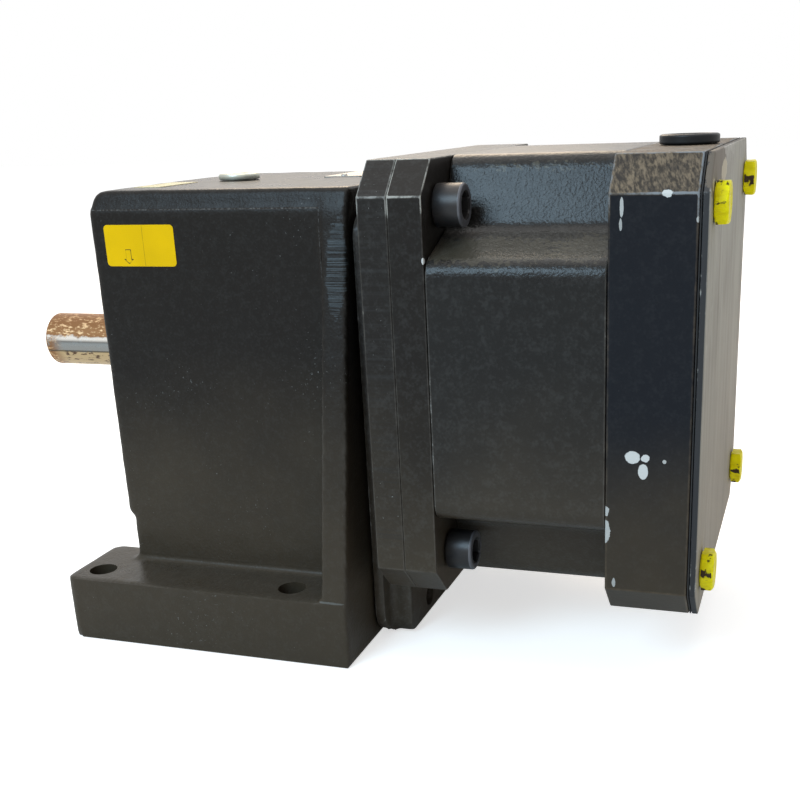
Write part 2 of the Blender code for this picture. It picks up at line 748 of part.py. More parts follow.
def make_gear_case(iron):
    """Cast case with its foot, rear band, seal boss, bearing sleeve, web and oil space."""
    half = CASE_WIDTH / 2
    front_corners = [
        (CASE_FRONT, -half, CASE_CORNER),
        (CASE_REAR, -half, 0.0),
        (CASE_REAR, half, 0.0),
        (CASE_FRONT, half, CASE_CORNER),
    ]
    case = plate("gear_case", [rounded(front_corners)], 0.0, CASE_HEIGHT, along="Z", finish=iron)
    shoulder = CASE_HEIGHT - CASE_BEVEL_Z
    gable = [
        (-half - PAST, -PAST),
        (half + PAST, -PAST),
        (half + PAST, shoulder - PAST * CASE_BEVEL_Z / CASE_BEVEL_Y),
        (half - CASE_BEVEL_Y, CASE_HEIGHT),
        (CASE_BEVEL_Y - half, CASE_HEIGHT),
        (-half - PAST, shoulder - PAST * CASE_BEVEL_Z / CASE_BEVEL_Y),
    ]
    combine(case, "INTERSECT", plate("case_gable", [gable], CASE_FRONT - PAST, CASE_REAR))
    step_size = (FRONT_STEP + PAST, CASE_WIDTH + 2 * PAST, FRONT_STEP_HEIGHT + PAST)
    step_middle = (CASE_FRONT - PAST + step_size[0] / 2, 0.0, FRONT_STEP_HEIGHT - step_size[2] / 2)
    cut(case, block("case_front_step", step_middle, step_size))

    foot_half = FOOT_WIDTH / 2
    gap = EAR_GAP / 2
    gap_x = CASE_FRONT + FRONT_STEP + EAR_GAP_SETBACK
    foot_corners = [
        (FOOT_FRONT, -foot_half, FOOT_CORNER),
        (CASE_REAR, -foot_half, 0.0),
        (CASE_REAR, foot_half, 0.0),
        (FOOT_FRONT, foot_half, FOOT_CORNER),
        (FOOT_FRONT, gap, FOOT_CORNER),
        (gap_x, gap, EAR_GAP_CORNER),
        (gap_x, -gap, EAR_GAP_CORNER),
        (FOOT_FRONT, -gap, FOOT_CORNER),
    ]
    foot = plate("foot", [rounded(foot_corners)], 0.0, FOOT_HEIGHT, along="Z")
    root = [
        (-half - WALL_ROOT, FOOT_HEIGHT - PAST),
        (half + WALL_ROOT, FOOT_HEIGHT - PAST),
        (half + WALL_ROOT, FOOT_HEIGHT),
        (half, FOOT_HEIGHT + WALL_ROOT),
        (-half, FOOT_HEIGHT + WALL_ROOT),
        (-half - WALL_ROOT, FOOT_HEIGHT),
    ]
    wall_root = plate("wall_root", [root], CASE_FRONT + FRONT_STEP + CASE_CORNER, CASE_REAR - PAST)
    band = [
        (-foot_half, 0.0),
        (foot_half, 0.0),
        (foot_half, FOOT_HEIGHT),
        (half, shoulder),
        (half - CASE_BEVEL_Y, CASE_HEIGHT),
        (CASE_BEVEL_Y - half, CASE_HEIGHT),
        (-half, shoulder),
        (-foot_half, FOOT_HEIGHT),
    ]
    rear_band = plate("rear_band", [band], CASE_REAR - BAND_THICKNESS, CASE_REAR)
    boss_front = CASE_FRONT - BOSS_LENGTH
    boss_profile = [
        (boss_front, 0.0),
        (boss_front, BOSS_DIAMETER / 2 - BOSS_EDGE),
        (boss_front + BOSS_EDGE, BOSS_DIAMETER / 2),
        (CASE_FRONT - BOSS_ROOT, BOSS_DIAMETER / 2),
        (CASE_FRONT, BOSS_DIAMETER / 2 + BOSS_ROOT),
        (CASE_FRONT + PAST, BOSS_DIAMETER / 2 + BOSS_ROOT),
        (CASE_FRONT + PAST, 0.0),
    ]
    boss = turned("seal_boss", boss_profile, BEARING_ROUND, height=SHAFT_HEIGHT)
    join(case, foot, wall_root, rear_band, boss)

    space = cavity_outline(CAVITY_WIDTH)
    mouth = cavity_outline(MOUTH_WIDTH)
    mouth_x = CASE_REAR - MOUTH_LENGTH
    cut(
        case,
        plate("front_space", [space], CASE_FRONT + FRONT_WALL, WEB_FRONT),
        plate("rear_space", [space], WEB_REAR, mouth_x),
        plate("case_mouth", [mouth], mouth_x - PAST, CASE_REAR + PAST),
    )
    seat = OUTPUT_BEARING[1] / 2 + FIT
    sleeve_profile = [
        (CASE_FRONT + FRONT_WALL - PAST, 0.0),
        (CASE_FRONT + FRONT_WALL - PAST, seat + SLEEVE_WALL),
        (WEB_FRONT + PAST, seat + SLEEVE_WALL),
        (WEB_FRONT + PAST, 0.0),
    ]
    join(case, turned("bearing_sleeve", sleeve_profile, BEARING_ROUND, height=SHAFT_HEIGHT))
    seal_floor = boss_front + SEAL_INSET + OUTPUT_SEAL_WIDTH + FIT
    clip_x = OUTPUT_REAR_BEARING_X + OUTPUT_BEARING[2] + FIT
    bore_profile = [
        (boss_front - PAST, 0.0),
        (boss_front - PAST, OUTPUT_SEAL / 2 + FIT),
        (seal_floor, OUTPUT_SEAL / 2 + FIT),
        (seal_floor, SHAFT_SEAT / 2 + PASSAGE_GAP),
        (OUTPUT_FRONT_BEARING_X - FIT, SHAFT_SEAT / 2 + PASSAGE_GAP),
        (OUTPUT_FRONT_BEARING_X - FIT, seat),
        (clip_x, seat),
        (clip_x, seat + CLIP_GROOVE_DEPTH),
        (clip_x + CLIP_GROOVE, seat + CLIP_GROOVE_DEPTH),
        (clip_x + CLIP_GROOVE, seat),
        (WEB_REAR + PAST, seat),
        (WEB_REAR + PAST, 0.0),
    ]
    lay_start = LAYSHAFT_FRONT_BEARING_X - FIT
    plug = (CAVITY_TOP - PAST, CASE_HEIGHT + PAST, PLUG_THREAD + 2 * FIT)
    oil_places = [(-OIL_HOLE_SPREAD / 2, OIL_HOLE_HEIGHT), (OIL_HOLE_SPREAD / 2, OIL_HOLE_HEIGHT)]
    foot_places = corner_places(FOOT_HOLES_X, FOOT_HOLES_Y)
    taps = (CASE_REAR - COVER_GRIP, CASE_REAR + PAST, COVER_SCREW[0] + 2 * FIT)
    cut(
        case,
        turned("output_bore", bore_profile, BEARING_ROUND, height=SHAFT_HEIGHT),
        bore("layshaft_bore", LAYSHAFT_BEARING, lay_start, WEB_REAR + PAST, height=LAYSHAFT_HEIGHT),
        bars("oil_holes", oil_places, WEB_FRONT - PAST, WEB_REAR + PAST, OIL_HOLE, TINY_FACETS),
        bars("foot_holes", foot_places, -PAST, FOOT_HEIGHT + PAST, FOOT_HOLE, along="Z"),
        bars("plug_hole", [(PLUG_X, 0.0)], *plug, along="Z"),
        bars("case_taps", cover_screw_places(), *taps, TINY_FACETS),
    )


def cavity_outline(width):
    """Outline of the oil space, or of its narrower mouth."""
    corners = rectangle(width / 2, CAVITY_FLOOR, CAVITY_TOP, CAVITY_CORNER)
    return rounded(corners, CAST_CORNER_FACETS)


def cover_screw_places():
    """Places of the screws that hold the input cover: three up each side, two in the lug."""
    side = (MOUTH_WIDTH + COVER_WIDTH) / 4
    heights = [SHAFT_HEIGHT + rise for rise in COVER_SCREW_RISES]
    places = [(side * sign, height) for sign in (-1, 1) for height in heights]
    return places + [(LUG_HOLE_SPREAD / 2 * sign, LUG_HOLE_HEIGHT) for sign in (-1, 1)]


def make_input_cover(iron, paper):
    """Cover of the gear case with its neck, its lug under the motor, its own screws and the gasket."""
    flange = rounded(rectangle(COVER_WIDTH / 2, COVER_BOTTOM, COVER_TOP, COVER_CORNER))
    neck = rounded(rectangle(NECK_WIDTH / 2, NECK_BOTTOM, NECK_TOP, COVER_CORNER))
    lug = rounded(rectangle(LUG_WIDTH / 2, LUG_BOTTOM, LUG_TOP, LUG_CORNER))
    cover_rear = COVER_X + COVER_THICKNESS
    cover = plate("input_cover", [flange], COVER_X, COVER_X + COVER_LIP, finish=iron)
    join(
        cover,
        plate("cover_neck", [neck], COVER_X + PAST, cover_rear),
        plate("cover_lug", [lug], COVER_X + PAST, cover_rear + LUG_REACH),
    )
    lay_floor = LAYSHAFT_REAR_BEARING_X + LAYSHAFT_BEARING[2] + FIT
    places = cover_screw_places()
    lug_places = places[-2:]
    thread, head = COVER_SCREW[:2]
    passage = (COVER_X - PAST, cover_rear + PAST, PINION_PASSAGE)
    wells = (COVER_X + COVER_LIP, cover_rear + LUG_REACH + PAST, head + HEAD_CLEARANCE)
    taps = (cover_rear - ADAPTER_GRIP, cover_rear + PAST, ADAPTER_SCREW[0] + 2 * FIT)
    cut(
        cover,
        bars("pinion_passage", [(0.0, SHAFT_HEIGHT)], *passage, ROUND),
        bore("cover_bearing_bore", LAYSHAFT_BEARING, COVER_X - PAST, lay_floor, height=LAYSHAFT_HEIGHT),
        bars("lug_counterbores", lug_places, *wells),
        bars("cover_taps", adapter_screw_places(), *taps, TINY_FACETS),
    )
    holes = [circle((thread + HOLE_OVER_THREAD) / 2, TINY_FACETS, spot) for spot in places]
    edges = [flange, cavity_outline(MOUTH_WIDTH), *holes]
    plate("case_gasket", edges, GASKET_X, GASKET_X + GASKET_THICKNESS, finish=paper)
    grip = COVER_LIP - SUNK + FIT + GASKET_THICKNESS + COVER_GRIP - PAST
    screw = cap_screw("cover_screw", COVER_SCREW, COVER_X + COVER_LIP - SUNK, grip, TINY_FACETS)
    join(cover, cluster("cover_screws", screw, moved(places)))


def adapter_screw_places():
    """Places of the screws that hold the adapter plate on the input cover."""
    return [(u, v + SHAFT_HEIGHT) for u, v in corner_places(ADAPTER_SCREW_Y, ADAPTER_SCREW_Z)]


def make_adapter_plate(steel, rubber):
    """Sawn plate that carries the motor, with its sunk screws and the oil seal round the motor's shaft."""
    rear = ADAPTER_X + ADAPTER_THICKNESS
    tie_places = corner_places(TIE_SPACING)
    tie_holes = [circle(FLANGE_SCREW[0] / 2 + FIT, SMALL_FACETS, spot) for spot in tie_places]
    edge = chamfered_square(MOTOR_SQUARE, MOTOR_CHAMFER)
    adapter = plate("adapter_plate", [edge, *tie_holes], ADAPTER_X, rear, height=SHAFT_HEIGHT, finish=steel)
    seal_floor = ROTOR_SEAL_X + ROTOR_SEAL_WIDTH + FIT
    bore_profile = [
        (ADAPTER_X - PAST, 0.0),
        (ADAPTER_X - PAST, ROTOR_SEAL / 2 + FIT),
        (seal_floor, ROTOR_SEAL / 2 + FIT),
        (seal_floor, ROTOR_SEAT / 2 + PASSAGE_GAP),
        (rear + PAST, ROTOR_SEAT / 2 + PASSAGE_GAP),
        (rear + PAST, 0.0),
    ]
    head, head_height = ADAPTER_SCREW[1:3]
    floor_x = rear - head_height - 2 * SUNK
    places = corner_places(ADAPTER_SCREW_Y, ADAPTER_SCREW_Z)
    well = (floor_x, rear + PAST, head + 2 * HEAD_CLEARANCE)
    cut(
        adapter,
        turned("adapter_bore", bore_profile, height=SHAFT_HEIGHT),
        bars("adapter_wells", places, *well, TINY_FACETS, height=SHAFT_HEIGHT),
    )
    length = floor_x - SUNK - ADAPTER_X + ADAPTER_GRIP - PAST
    screw = cap_screw("adapter_screw", ADAPTER_SCREW, floor_x - SUNK, length, TINY_FACETS)
    join(adapter, cluster("adapter_screws", screw, moved(places), height=SHAFT_HEIGHT))
    lip_seal("rotor_seal", ROTOR_SEAL_X, ROTOR_SEAL_WIDTH, ROTOR_SEAT, ROTOR_SEAL, rubber)


def lip_seal(name, start, width, shaft, outside, rubber):
    """Rotary shaft seal: a shell with a lip that comes close to the shaft."""
    lip = shaft / 2 + FIT
    profile = [
        (start, outside / 2),
        (start + width, outside / 2),
        (start + width, outside / 2 - SEAL_WALL),
        (start + SEAL_WALL, outside / 2 - SEAL_WALL),
        (start + SEAL_WALL, lip + SEAL_WALL),
        (start + SEAL_LIP_AT * width, lip),
        (start, lip + SEAL_WALL / 2),
    ]
    turned(name, profile, BEARING_ROUND, finish=rubber, height=SHAFT_HEIGHT)


def make_motor_housing(paint, screw_steel):
    """Motor flange with its four screws, and the barrel with its four screw channels."""
    tie_places = corner_places(TIE_SPACING)
    edge = chamfered_square(MOTOR_SQUARE, MOTOR_CHAMFER)
    hole = (FLANGE_SCREW[0] + HOLE_OVER_THREAD) / 2
    edges = [edge, *[circle(hole, SMALL_FACETS, spot) for spot in tie_places]]
    flange_rear = FLANGE_X + MOTOR_FLANGE_THICKNESS
    flange = plate("motor_flange", edges, FLANGE_X, flange_rear, height=SHAFT_HEIGHT, finish=paint)
    bearing_floor = ROTOR_FRONT_BEARING_X - FIT
    seat = ROTOR_FRONT_BEARING[1] / 2 + FIT
    bore_profile = [
        (FLANGE_X - PAST, 0.0),
        (FLANGE_X - PAST, ROTOR_SEAT / 2 + PASSAGE_GAP),
        (bearing_floor, ROTOR_SEAT / 2 + PASSAGE_GAP),
        (bearing_floor, seat),
        (flange_rear + PAST, seat),
        (flange_rear + PAST, 0.0),
    ]
    facets = bearing_facets(ROTOR_FRONT_BEARING)
    cut(flange, turned("flange_bore", bore_profile, facets, height=SHAFT_HEIGHT))
    head_x = flange_rear + FIT
    screw = cap_screw("flange_screw", FLANGE_SCREW, head_x, FLANGE_GRIP, SMALL_FACETS)
    head_height, flats = FLANGE_SCREW[2:]
    socket = (head_x + head_height / 2, head_x + head_height + PAST, across_corners(flats))
    cut(screw, bars("flange_screw_socket", [(0.0, 0.0)], *socket, HEX_FACETS))
    copies("flange_screw", screw, tie_places, screw_steel, SHAFT_HEIGHT)

    half = MOTOR_SQUARE / 2
    corners = []
    for sign_y, sign_z in ((1, 1), (-1, 1), (-1, -1), (1, -1)):
        pocket = [
            (half * sign_y, POCKET_LIP * sign_z, POCKET_LIP_RADIUS),
            (POCKET_CORNER * sign_y, POCKET_CORNER * sign_z, POCKET_ROOT_RADIUS),
            (POCKET_LIP * sign_y, half * sign_z, POCKET_LIP_RADIUS),
        ]
        corners += pocket if sign_y == sign_z else pocket[::-1]
    edges = [rounded(corners), circle(STATOR_DIAMETER / 2 + FIT, FINE_FACETS)]
    barrel_rear = BARREL_X + BARREL_LENGTH
    plate("motor_barrel", edges, BARREL_X, barrel_rear, height=SHAFT_HEIGHT, finish=paint)


def make_rear_block(paint, raw, yellow, black, paper):
    """Rear block with its wiring space, blanking cap, gasket, cover plate and four hexagon bolts."""
    tie_places = corner_places(TIE_SPACING)
    edge = chamfered_square(MOTOR_SQUARE, MOTOR_CHAMFER)
    block_rear = BLOCK_X + BLOCK_LENGTH
    rear_block = plate("rear_block", [edge], BLOCK_X, block_rear, height=SHAFT_HEIGHT, finish=paint)
    inner = MOTOR_SQUARE / 2 - BLOCK_WALL
    room = rounded(rectangle(inner, -inner, inner, CAVITY_CORNER), CAST_CORNER_FACETS)
    bearing_floor = ROTOR_REAR_BEARING_X + ROTOR_REAR_BEARING[2] + FIT
    bore_profile = [
        (BLOCK_X - PAST, 0.0),
        (BLOCK_X - PAST, ROTOR_REAR_BEARING[1] / 2 + FIT),
        (bearing_floor, ROTOR_REAR_BEARING[1] / 2 + FIT),
        (bearing_floor, ENCODER_SEAT / 2 + PASSAGE_GAP),
        (BLOCK_X + BLOCK_FLOOR + PAST, ENCODER_SEAT / 2 + PASSAGE_GAP),
        (BLOCK_X + BLOCK_FLOOR + PAST, 0.0),
    ]
    top = MOTOR_SQUARE / 2
    facets = bearing_facets(ROTOR_REAR_BEARING)
    cable_hole = (inner - PAST, top + PAST, CAP_STEM + 2 * FIT)
    taps = (block_rear - REAR_BOLT_LENGTH, block_rear + PAST, REAR_BOLT[0] + 2 * FIT)
    cut(
        rear_block,
        plate("wiring_space", [room], BLOCK_X + BLOCK_FLOOR, block_rear + PAST, height=SHAFT_HEIGHT),
        turned("rear_bearing_bore", bore_profile, facets, height=SHAFT_HEIGHT),
        bars("cable_hole", [(CAP_X, 0.0)], *cable_hole, along="Z", height=SHAFT_HEIGHT),
        bars("rear_taps", tie_places, *taps, TINY_FACETS, height=SHAFT_HEIGHT),
    )
    cap_profile = [
        (0.0, 0.0),
        (0.0, CAP_STEM / 2),
        (CAP_STEM_DEPTH, CAP_STEM / 2),
        (CAP_STEM_DEPTH, CAP_DIAMETER / 2),
        (CAP_STEM_DEPTH + CAP_HEIGHT - CAP_EDGE, CAP_DIAMETER / 2),
        (CAP_STEM_DEPTH + CAP_HEIGHT, CAP_DIAMETER / 2 - CAP_EDGE),
        (CAP_STEM_DEPTH + CAP_HEIGHT, 0.0),
    ]
    cap = turned("cable_entry_cap", cap_profile, BEARING_ROUND, finish=black)
    stand(cap, (CAP_X, 0.0, SHAFT_HEIGHT + top + FIT - CAP_STEM_DEPTH))

    bolt_holes = [circle((REAR_BOLT[0] + HOLE_OVER_THREAD) / 2, SMALL_FACETS, spot) for spot in tie_places]
    gasket_rear = REAR_GASKET_X + REAR_GASKET_THICKNESS
    edges = [edge, room, *bolt_holes]
    plate("rear_gasket", edges, REAR_GASKET_X, gasket_rear, height=SHAFT_HEIGHT, finish=paper)
    plate("rear_cover", [edge, *bolt_holes], REAR_COVER_X, REAR_FACE, height=SHAFT_HEIGHT, finish=raw)
    bolt = hexagon_bolt("rear_bolt", REAR_BOLT, REAR_FACE + FIT, REAR_BOLT_LENGTH)
    copies("rear_bolt", bolt, tie_places, yellow, SHAFT_HEIGHT)


def stand(obj, foot):
    """Turn a piece that was turned about X so that its axis points up, with its start at foot."""
    obj.rotation_euler = (0.0, -math.pi / 2, 0.0)
    obj.location = Vector(foot) * MM


def make_stator(laminate, copper):
    """Laminated stator with a coil on each tooth, and the bus ring that joins the coils."""
    bore = STATOR_BORE / 2
    back = STATOR_DIAMETER / 2 - STATOR_YOKE
    pitch = 2 * math.pi / STATOR_TEETH
    opening = SLOT_OPENING / 2 / bore
    side = TOOTH_WIDTH / 2
    slots = []
    for centre in full_turns(STATOR_TEETH):
        outline = [
            (bore, -pitch / 2 + opening),
            (bore, -pitch / 6),
            (bore, pitch / 6),
            (bore, pitch / 2 - opening),
            (bore + TOOTH_TIP, pitch / 2 - opening),
            (math.hypot(bore + TOOTH_TIP, side), math.atan2(side, bore + TOOTH_TIP)),
            (back, math.asin(side / back)),
            (back, pitch / 2),
            (back, pitch - math.asin(side / back)),
            (math.hypot(bore + TOOTH_TIP, side), pitch - math.atan2(side, bore + TOOTH_TIP)),
            (bore + TOOTH_TIP, pitch / 2 + opening),
        ]
        slots += [(r * math.cos(centre + turn), r * math.sin(centre + turn)) for r, turn in outline]
    end = STATOR_X + STATOR_LENGTH
    outside = circle(STATOR_DIAMETER / 2, FINE_FACETS)
    plate("stator_core", [outside, slots], STATOR_X, end, height=SHAFT_HEIGHT, finish=laminate)

    inner = side + FIT
    outer = inner + COIL_THICKNESS
    low = bore + TOOTH_TIP + COIL_CLEARANCE
    high = math.sqrt((back - COIL_CLEARANCE) ** 2 - outer**2)
    reach = STATOR_LENGTH / 2 + COIL_OVERHANG
    middle = STATOR_X + STATOR_LENGTH / 2
    coil = block("coil_pattern", (middle, (low + high) / 2, 0.0), (2 * reach, high - low, 2 * outer))
    eye = (STATOR_LENGTH + 2 * FIT, high - low + 2 * PAST, 2 * inner)
    cut(coil, block("coil_eye", (middle, (low + high) / 2, 0.0), eye))
    turns = turned_round(STATOR_TEETH)
    windings = cluster("stator_windings", coil, turns, finish=copper, height=SHAFT_HEIGHT)
    bus_x = middle + reach - PAST
    bus = (bus_x, bus_x + BUS_RING, 2 * (low + BUS_RING_INSET), 2 * (high - PAST))
    join(windings, ring("coil_bus", *bus, STATOR_TEETH, height=SHAFT_HEIGHT))


def make_output(parent, steel, gear_steel, black):
    """Output shaft with its gear, key, spacer and circlip."""
    front = OUTPUT_FRONT_BEARING_X + OUTPUT_BEARING[2]
    gear_front, gear_rear = STAGE_2_FACE
    shoulder = SHAFT_NOSE + SHAFT_END_LENGTH
    collar_start = front + FIT
    collar_end = OUTPUT_REAR_BEARING_X - FIT
    seat_x = gear_front - GEAR_SEAT_RUN
    groove = (gear_rear + FIT, gear_rear + 2 * FIT + CIRCLIP)
    profile = [
        (SHAFT_NOSE + SHAFT_TAP_DEPTH + SHAFT_TAP_CONE, 0.0),
        (SHAFT_NOSE + SHAFT_TAP_DEPTH, SHAFT_TAP / 2),
        (SHAFT_NOSE + SHAFT_TAP_MOUTH, SHAFT_TAP / 2),
        (SHAFT_NOSE, SHAFT_TAP / 2 + SHAFT_TAP_MOUTH),
        (SHAFT_NOSE, SHAFT_DIAMETER / 2 - SHAFT_CHAMFER),
        (SHAFT_NOSE + SHAFT_CHAMFER, SHAFT_DIAMETER / 2),
        (shoulder, SHAFT_DIAMETER / 2),
        (shoulder, SHAFT_SEAT / 2),
        (collar_start, SHAFT_SEAT / 2),
        (collar_start, SHAFT_COLLAR / 2),
        (collar_end, SHAFT_COLLAR / 2),
        (collar_end, SHAFT_SEAT / 2),
        (seat_x, SHAFT_SEAT / 2),
        (seat_x, GEAR_SEAT / 2),
        (groove[0], GEAR_SEAT / 2),
        (groove[0], GEAR_SEAT / 2 - CIRCLIP),
        (groove[1], GEAR_SEAT / 2 - CIRCLIP),
        (groove[1], GEAR_SEAT / 2),
        (SHAFT_TAIL, GEAR_SEAT / 2),
        (SHAFT_TAIL, 0.0),
    ]
    shaft = turned("output_shaft", profile, BEARING_ROUND, parent=parent, finish=steel)
    way = key("output_key", OUTPUT_KEY, (gear_front + gear_rear) / 2, GEAR_SEAT, black, parent)
    cut(shaft, way)
    wheel = wheel_gear("output_gear", STAGE_2_TEETH, STAGE_2_FACE, -math.pi / 2, parent, gear_steel)
    cut(wheel, gear_bore("output_gear", STAGE_2_FACE, GEAR_SEAT, parent), way)
    bearing_end = OUTPUT_REAR_BEARING_X + OUTPUT_BEARING[2]
    spacer = (bearing_end + FIT, gear_front - FIT, SHAFT_SEAT + 2 * FIT, SHAFT_SEAT + 2 * GEAR_SPACER_WALL)
    ring("gear_spacer", *spacer, BEARING_ROUND, parent=parent, finish=steel)
    clip_x = gear_rear + CIRCLIP_PLAY
    clip = (clip_x, clip_x + CIRCLIP, GEAR_SEAT - 2 * CIRCLIP + 2 * FIT, GEAR_SEAT + 2 * CIRCLIP_RIM)
    ring("gear_circlip", *clip, BEARING_ROUND, parent=parent, finish=black)


def make_layshaft(parent, steel, gear_steel, black):
    """Layshaft with its cut pinion, and the large gear keyed on it."""
    seat = LAYSHAFT_BEARING[0] / 2
    front = LAYSHAFT_FRONT_BEARING_X
    front_end = front + LAYSHAFT_BEARING[2] + FIT
    rear = LAYSHAFT_REAR_BEARING_X
    rear_end = rear + LAYSHAFT_BEARING[2]
    gear_front, gear_rear = STAGE_1_FACE
    collar = LAYSHAFT_COLLAR / 2
    pinion = pinion_gear("layshaft", STAGE_2_TEETH, STAGE_2_FACE, math.pi / 2, parent, gear_steel)
    profile = [
        (front, 0.0),
        (front, seat),
        (front_end, seat),
        (front_end, collar),
        (gear_front - FIT, collar),
        (gear_front - FIT, LAYSHAFT_SEAT / 2),
        (gear_rear + FIT, LAYSHAFT_SEAT / 2),
        (gear_rear + FIT, seat),
        (rear_end, seat),
        (rear_end, 0.0),
    ]
    join(pinion, turned("layshaft_core", profile, parent=parent))
    way = key("layshaft_key", LAYSHAFT_KEY, (gear_front + gear_rear) / 2, LAYSHAFT_SEAT, black, parent)
    cut(pinion, way)
    wheel = wheel_gear("layshaft_gear", STAGE_1_TEETH, STAGE_1_FACE, math.pi / 2, parent, gear_steel)
    cut(wheel, gear_bore("layshaft_gear", STAGE_1_FACE, LAYSHAFT_SEAT, parent), way)
    spacer = (gear_rear + 2 * FIT, rear - FIT, LAYSHAFT_BEARING[0] + 2 * FIT, LAYSHAFT_SPACER)
    ring("layshaft_spacer", *spacer, BEARING_ROUND, parent=parent, finish=steel)


def make_rotor(parent, steel, gear_steel, laminate, magnet_finish, disc_finish):
    """Rotor with its shaft, pinion, core, magnets and encoder disc."""
    nose = STAGE_1_FACE[0] - PINION_EXTRA
    pinion_rear = STAGE_1_FACE[1] + PINION_EXTRA
    step = pinion_rear + FIT
    bearing_end = ROTOR_FRONT_BEARING_X + ROTOR_FRONT_BEARING[2] + FIT
    rear = ROTOR_REAR_BEARING_X
    rear_end = rear + ROTOR_REAR_BEARING[2]
    tail = REAR_GASKET_X - ROTOR_TAIL_GAP
    profile = [
        (nose, 0.0),
        (nose, PINION_SEAT / 2),
        (step, PINION_SEAT / 2),
        (step, ROTOR_NECK / 2),
        (ADAPTER_X, ROTOR_NECK / 2),
        (ADAPTER_X, ROTOR_SEAT / 2),
        (bearing_end, ROTOR_SEAT / 2),
        (bearing_end, ROTOR_SHAFT / 2),
        (rear - FIT, ROTOR_SHAFT / 2),
        (rear - FIT, ROTOR_REAR_BEARING[0] / 2),
        (rear_end, ROTOR_REAR_BEARING[0] / 2),
        (rear_end, ENCODER_SEAT / 2),
        (tail, ENCODER_SEAT / 2),
        (tail, 0.0),
    ]
    turned("rotor_shaft", profile, BEARING_ROUND, parent=parent, finish=steel)
    pinion = pinion_gear("motor_pinion", STAGE_1_TEETH, STAGE_1_FACE, -math.pi / 2, parent, gear_steel)
    cut(pinion, gear_bore("motor_pinion", STAGE_1_FACE, PINION_SEAT, parent))
    end = STATOR_X + STATOR_LENGTH
    magnet_top = STATOR_BORE / 2 - AIR_GAP
    core = magnet_top - MAGNET_THICKNESS - FIT
    ring("rotor_core", STATOR_X, end, ROTOR_SHAFT + 2 * FIT, 2 * core, parent=parent, finish=laminate)
    span = math.radians(MAGNET_SPAN_DEG)
    low = core + FIT
    band = low + MAGNET_BAND
    outline = []
    for centre in full_turns(MAGNET_COUNT):
        arc = [centre + span * (k / 3 - 0.5) for k in range(4)]
        rim = [(band, arc[0]), *[(magnet_top, turn) for turn in arc], (band, arc[-1])]
        outline += [(r * math.cos(turn), r * math.sin(turn)) for r, turn in rim]
    edges = [outline, circle(low)]
    plate("rotor_magnets", edges, STATOR_X, end, parent=parent, finish=magnet_finish)
    hub_x = BLOCK_X + BLOCK_FLOOR + ENCODER_HUB_GAP
    disc_x = hub_x + ENCODER_HUB_LENGTH
    disc_rear = disc_x + ENCODER_DISC_THICKNESS
    disc_profile = [
        (hub_x, ENCODER_HUB / 2),
        (disc_x, ENCODER_HUB / 2),
        (disc_x, ENCODER_DISC / 2),
        (disc_rear, ENCODER_DISC / 2),
        (disc_rear, ENCODER_SEAT / 2 + FIT),
        (hub_x, ENCODER_SEAT / 2 + FIT),
    ]
    turned("encoder_disc", disc_profile, BEARING_ROUND, parent=parent, finish=disc_finish)


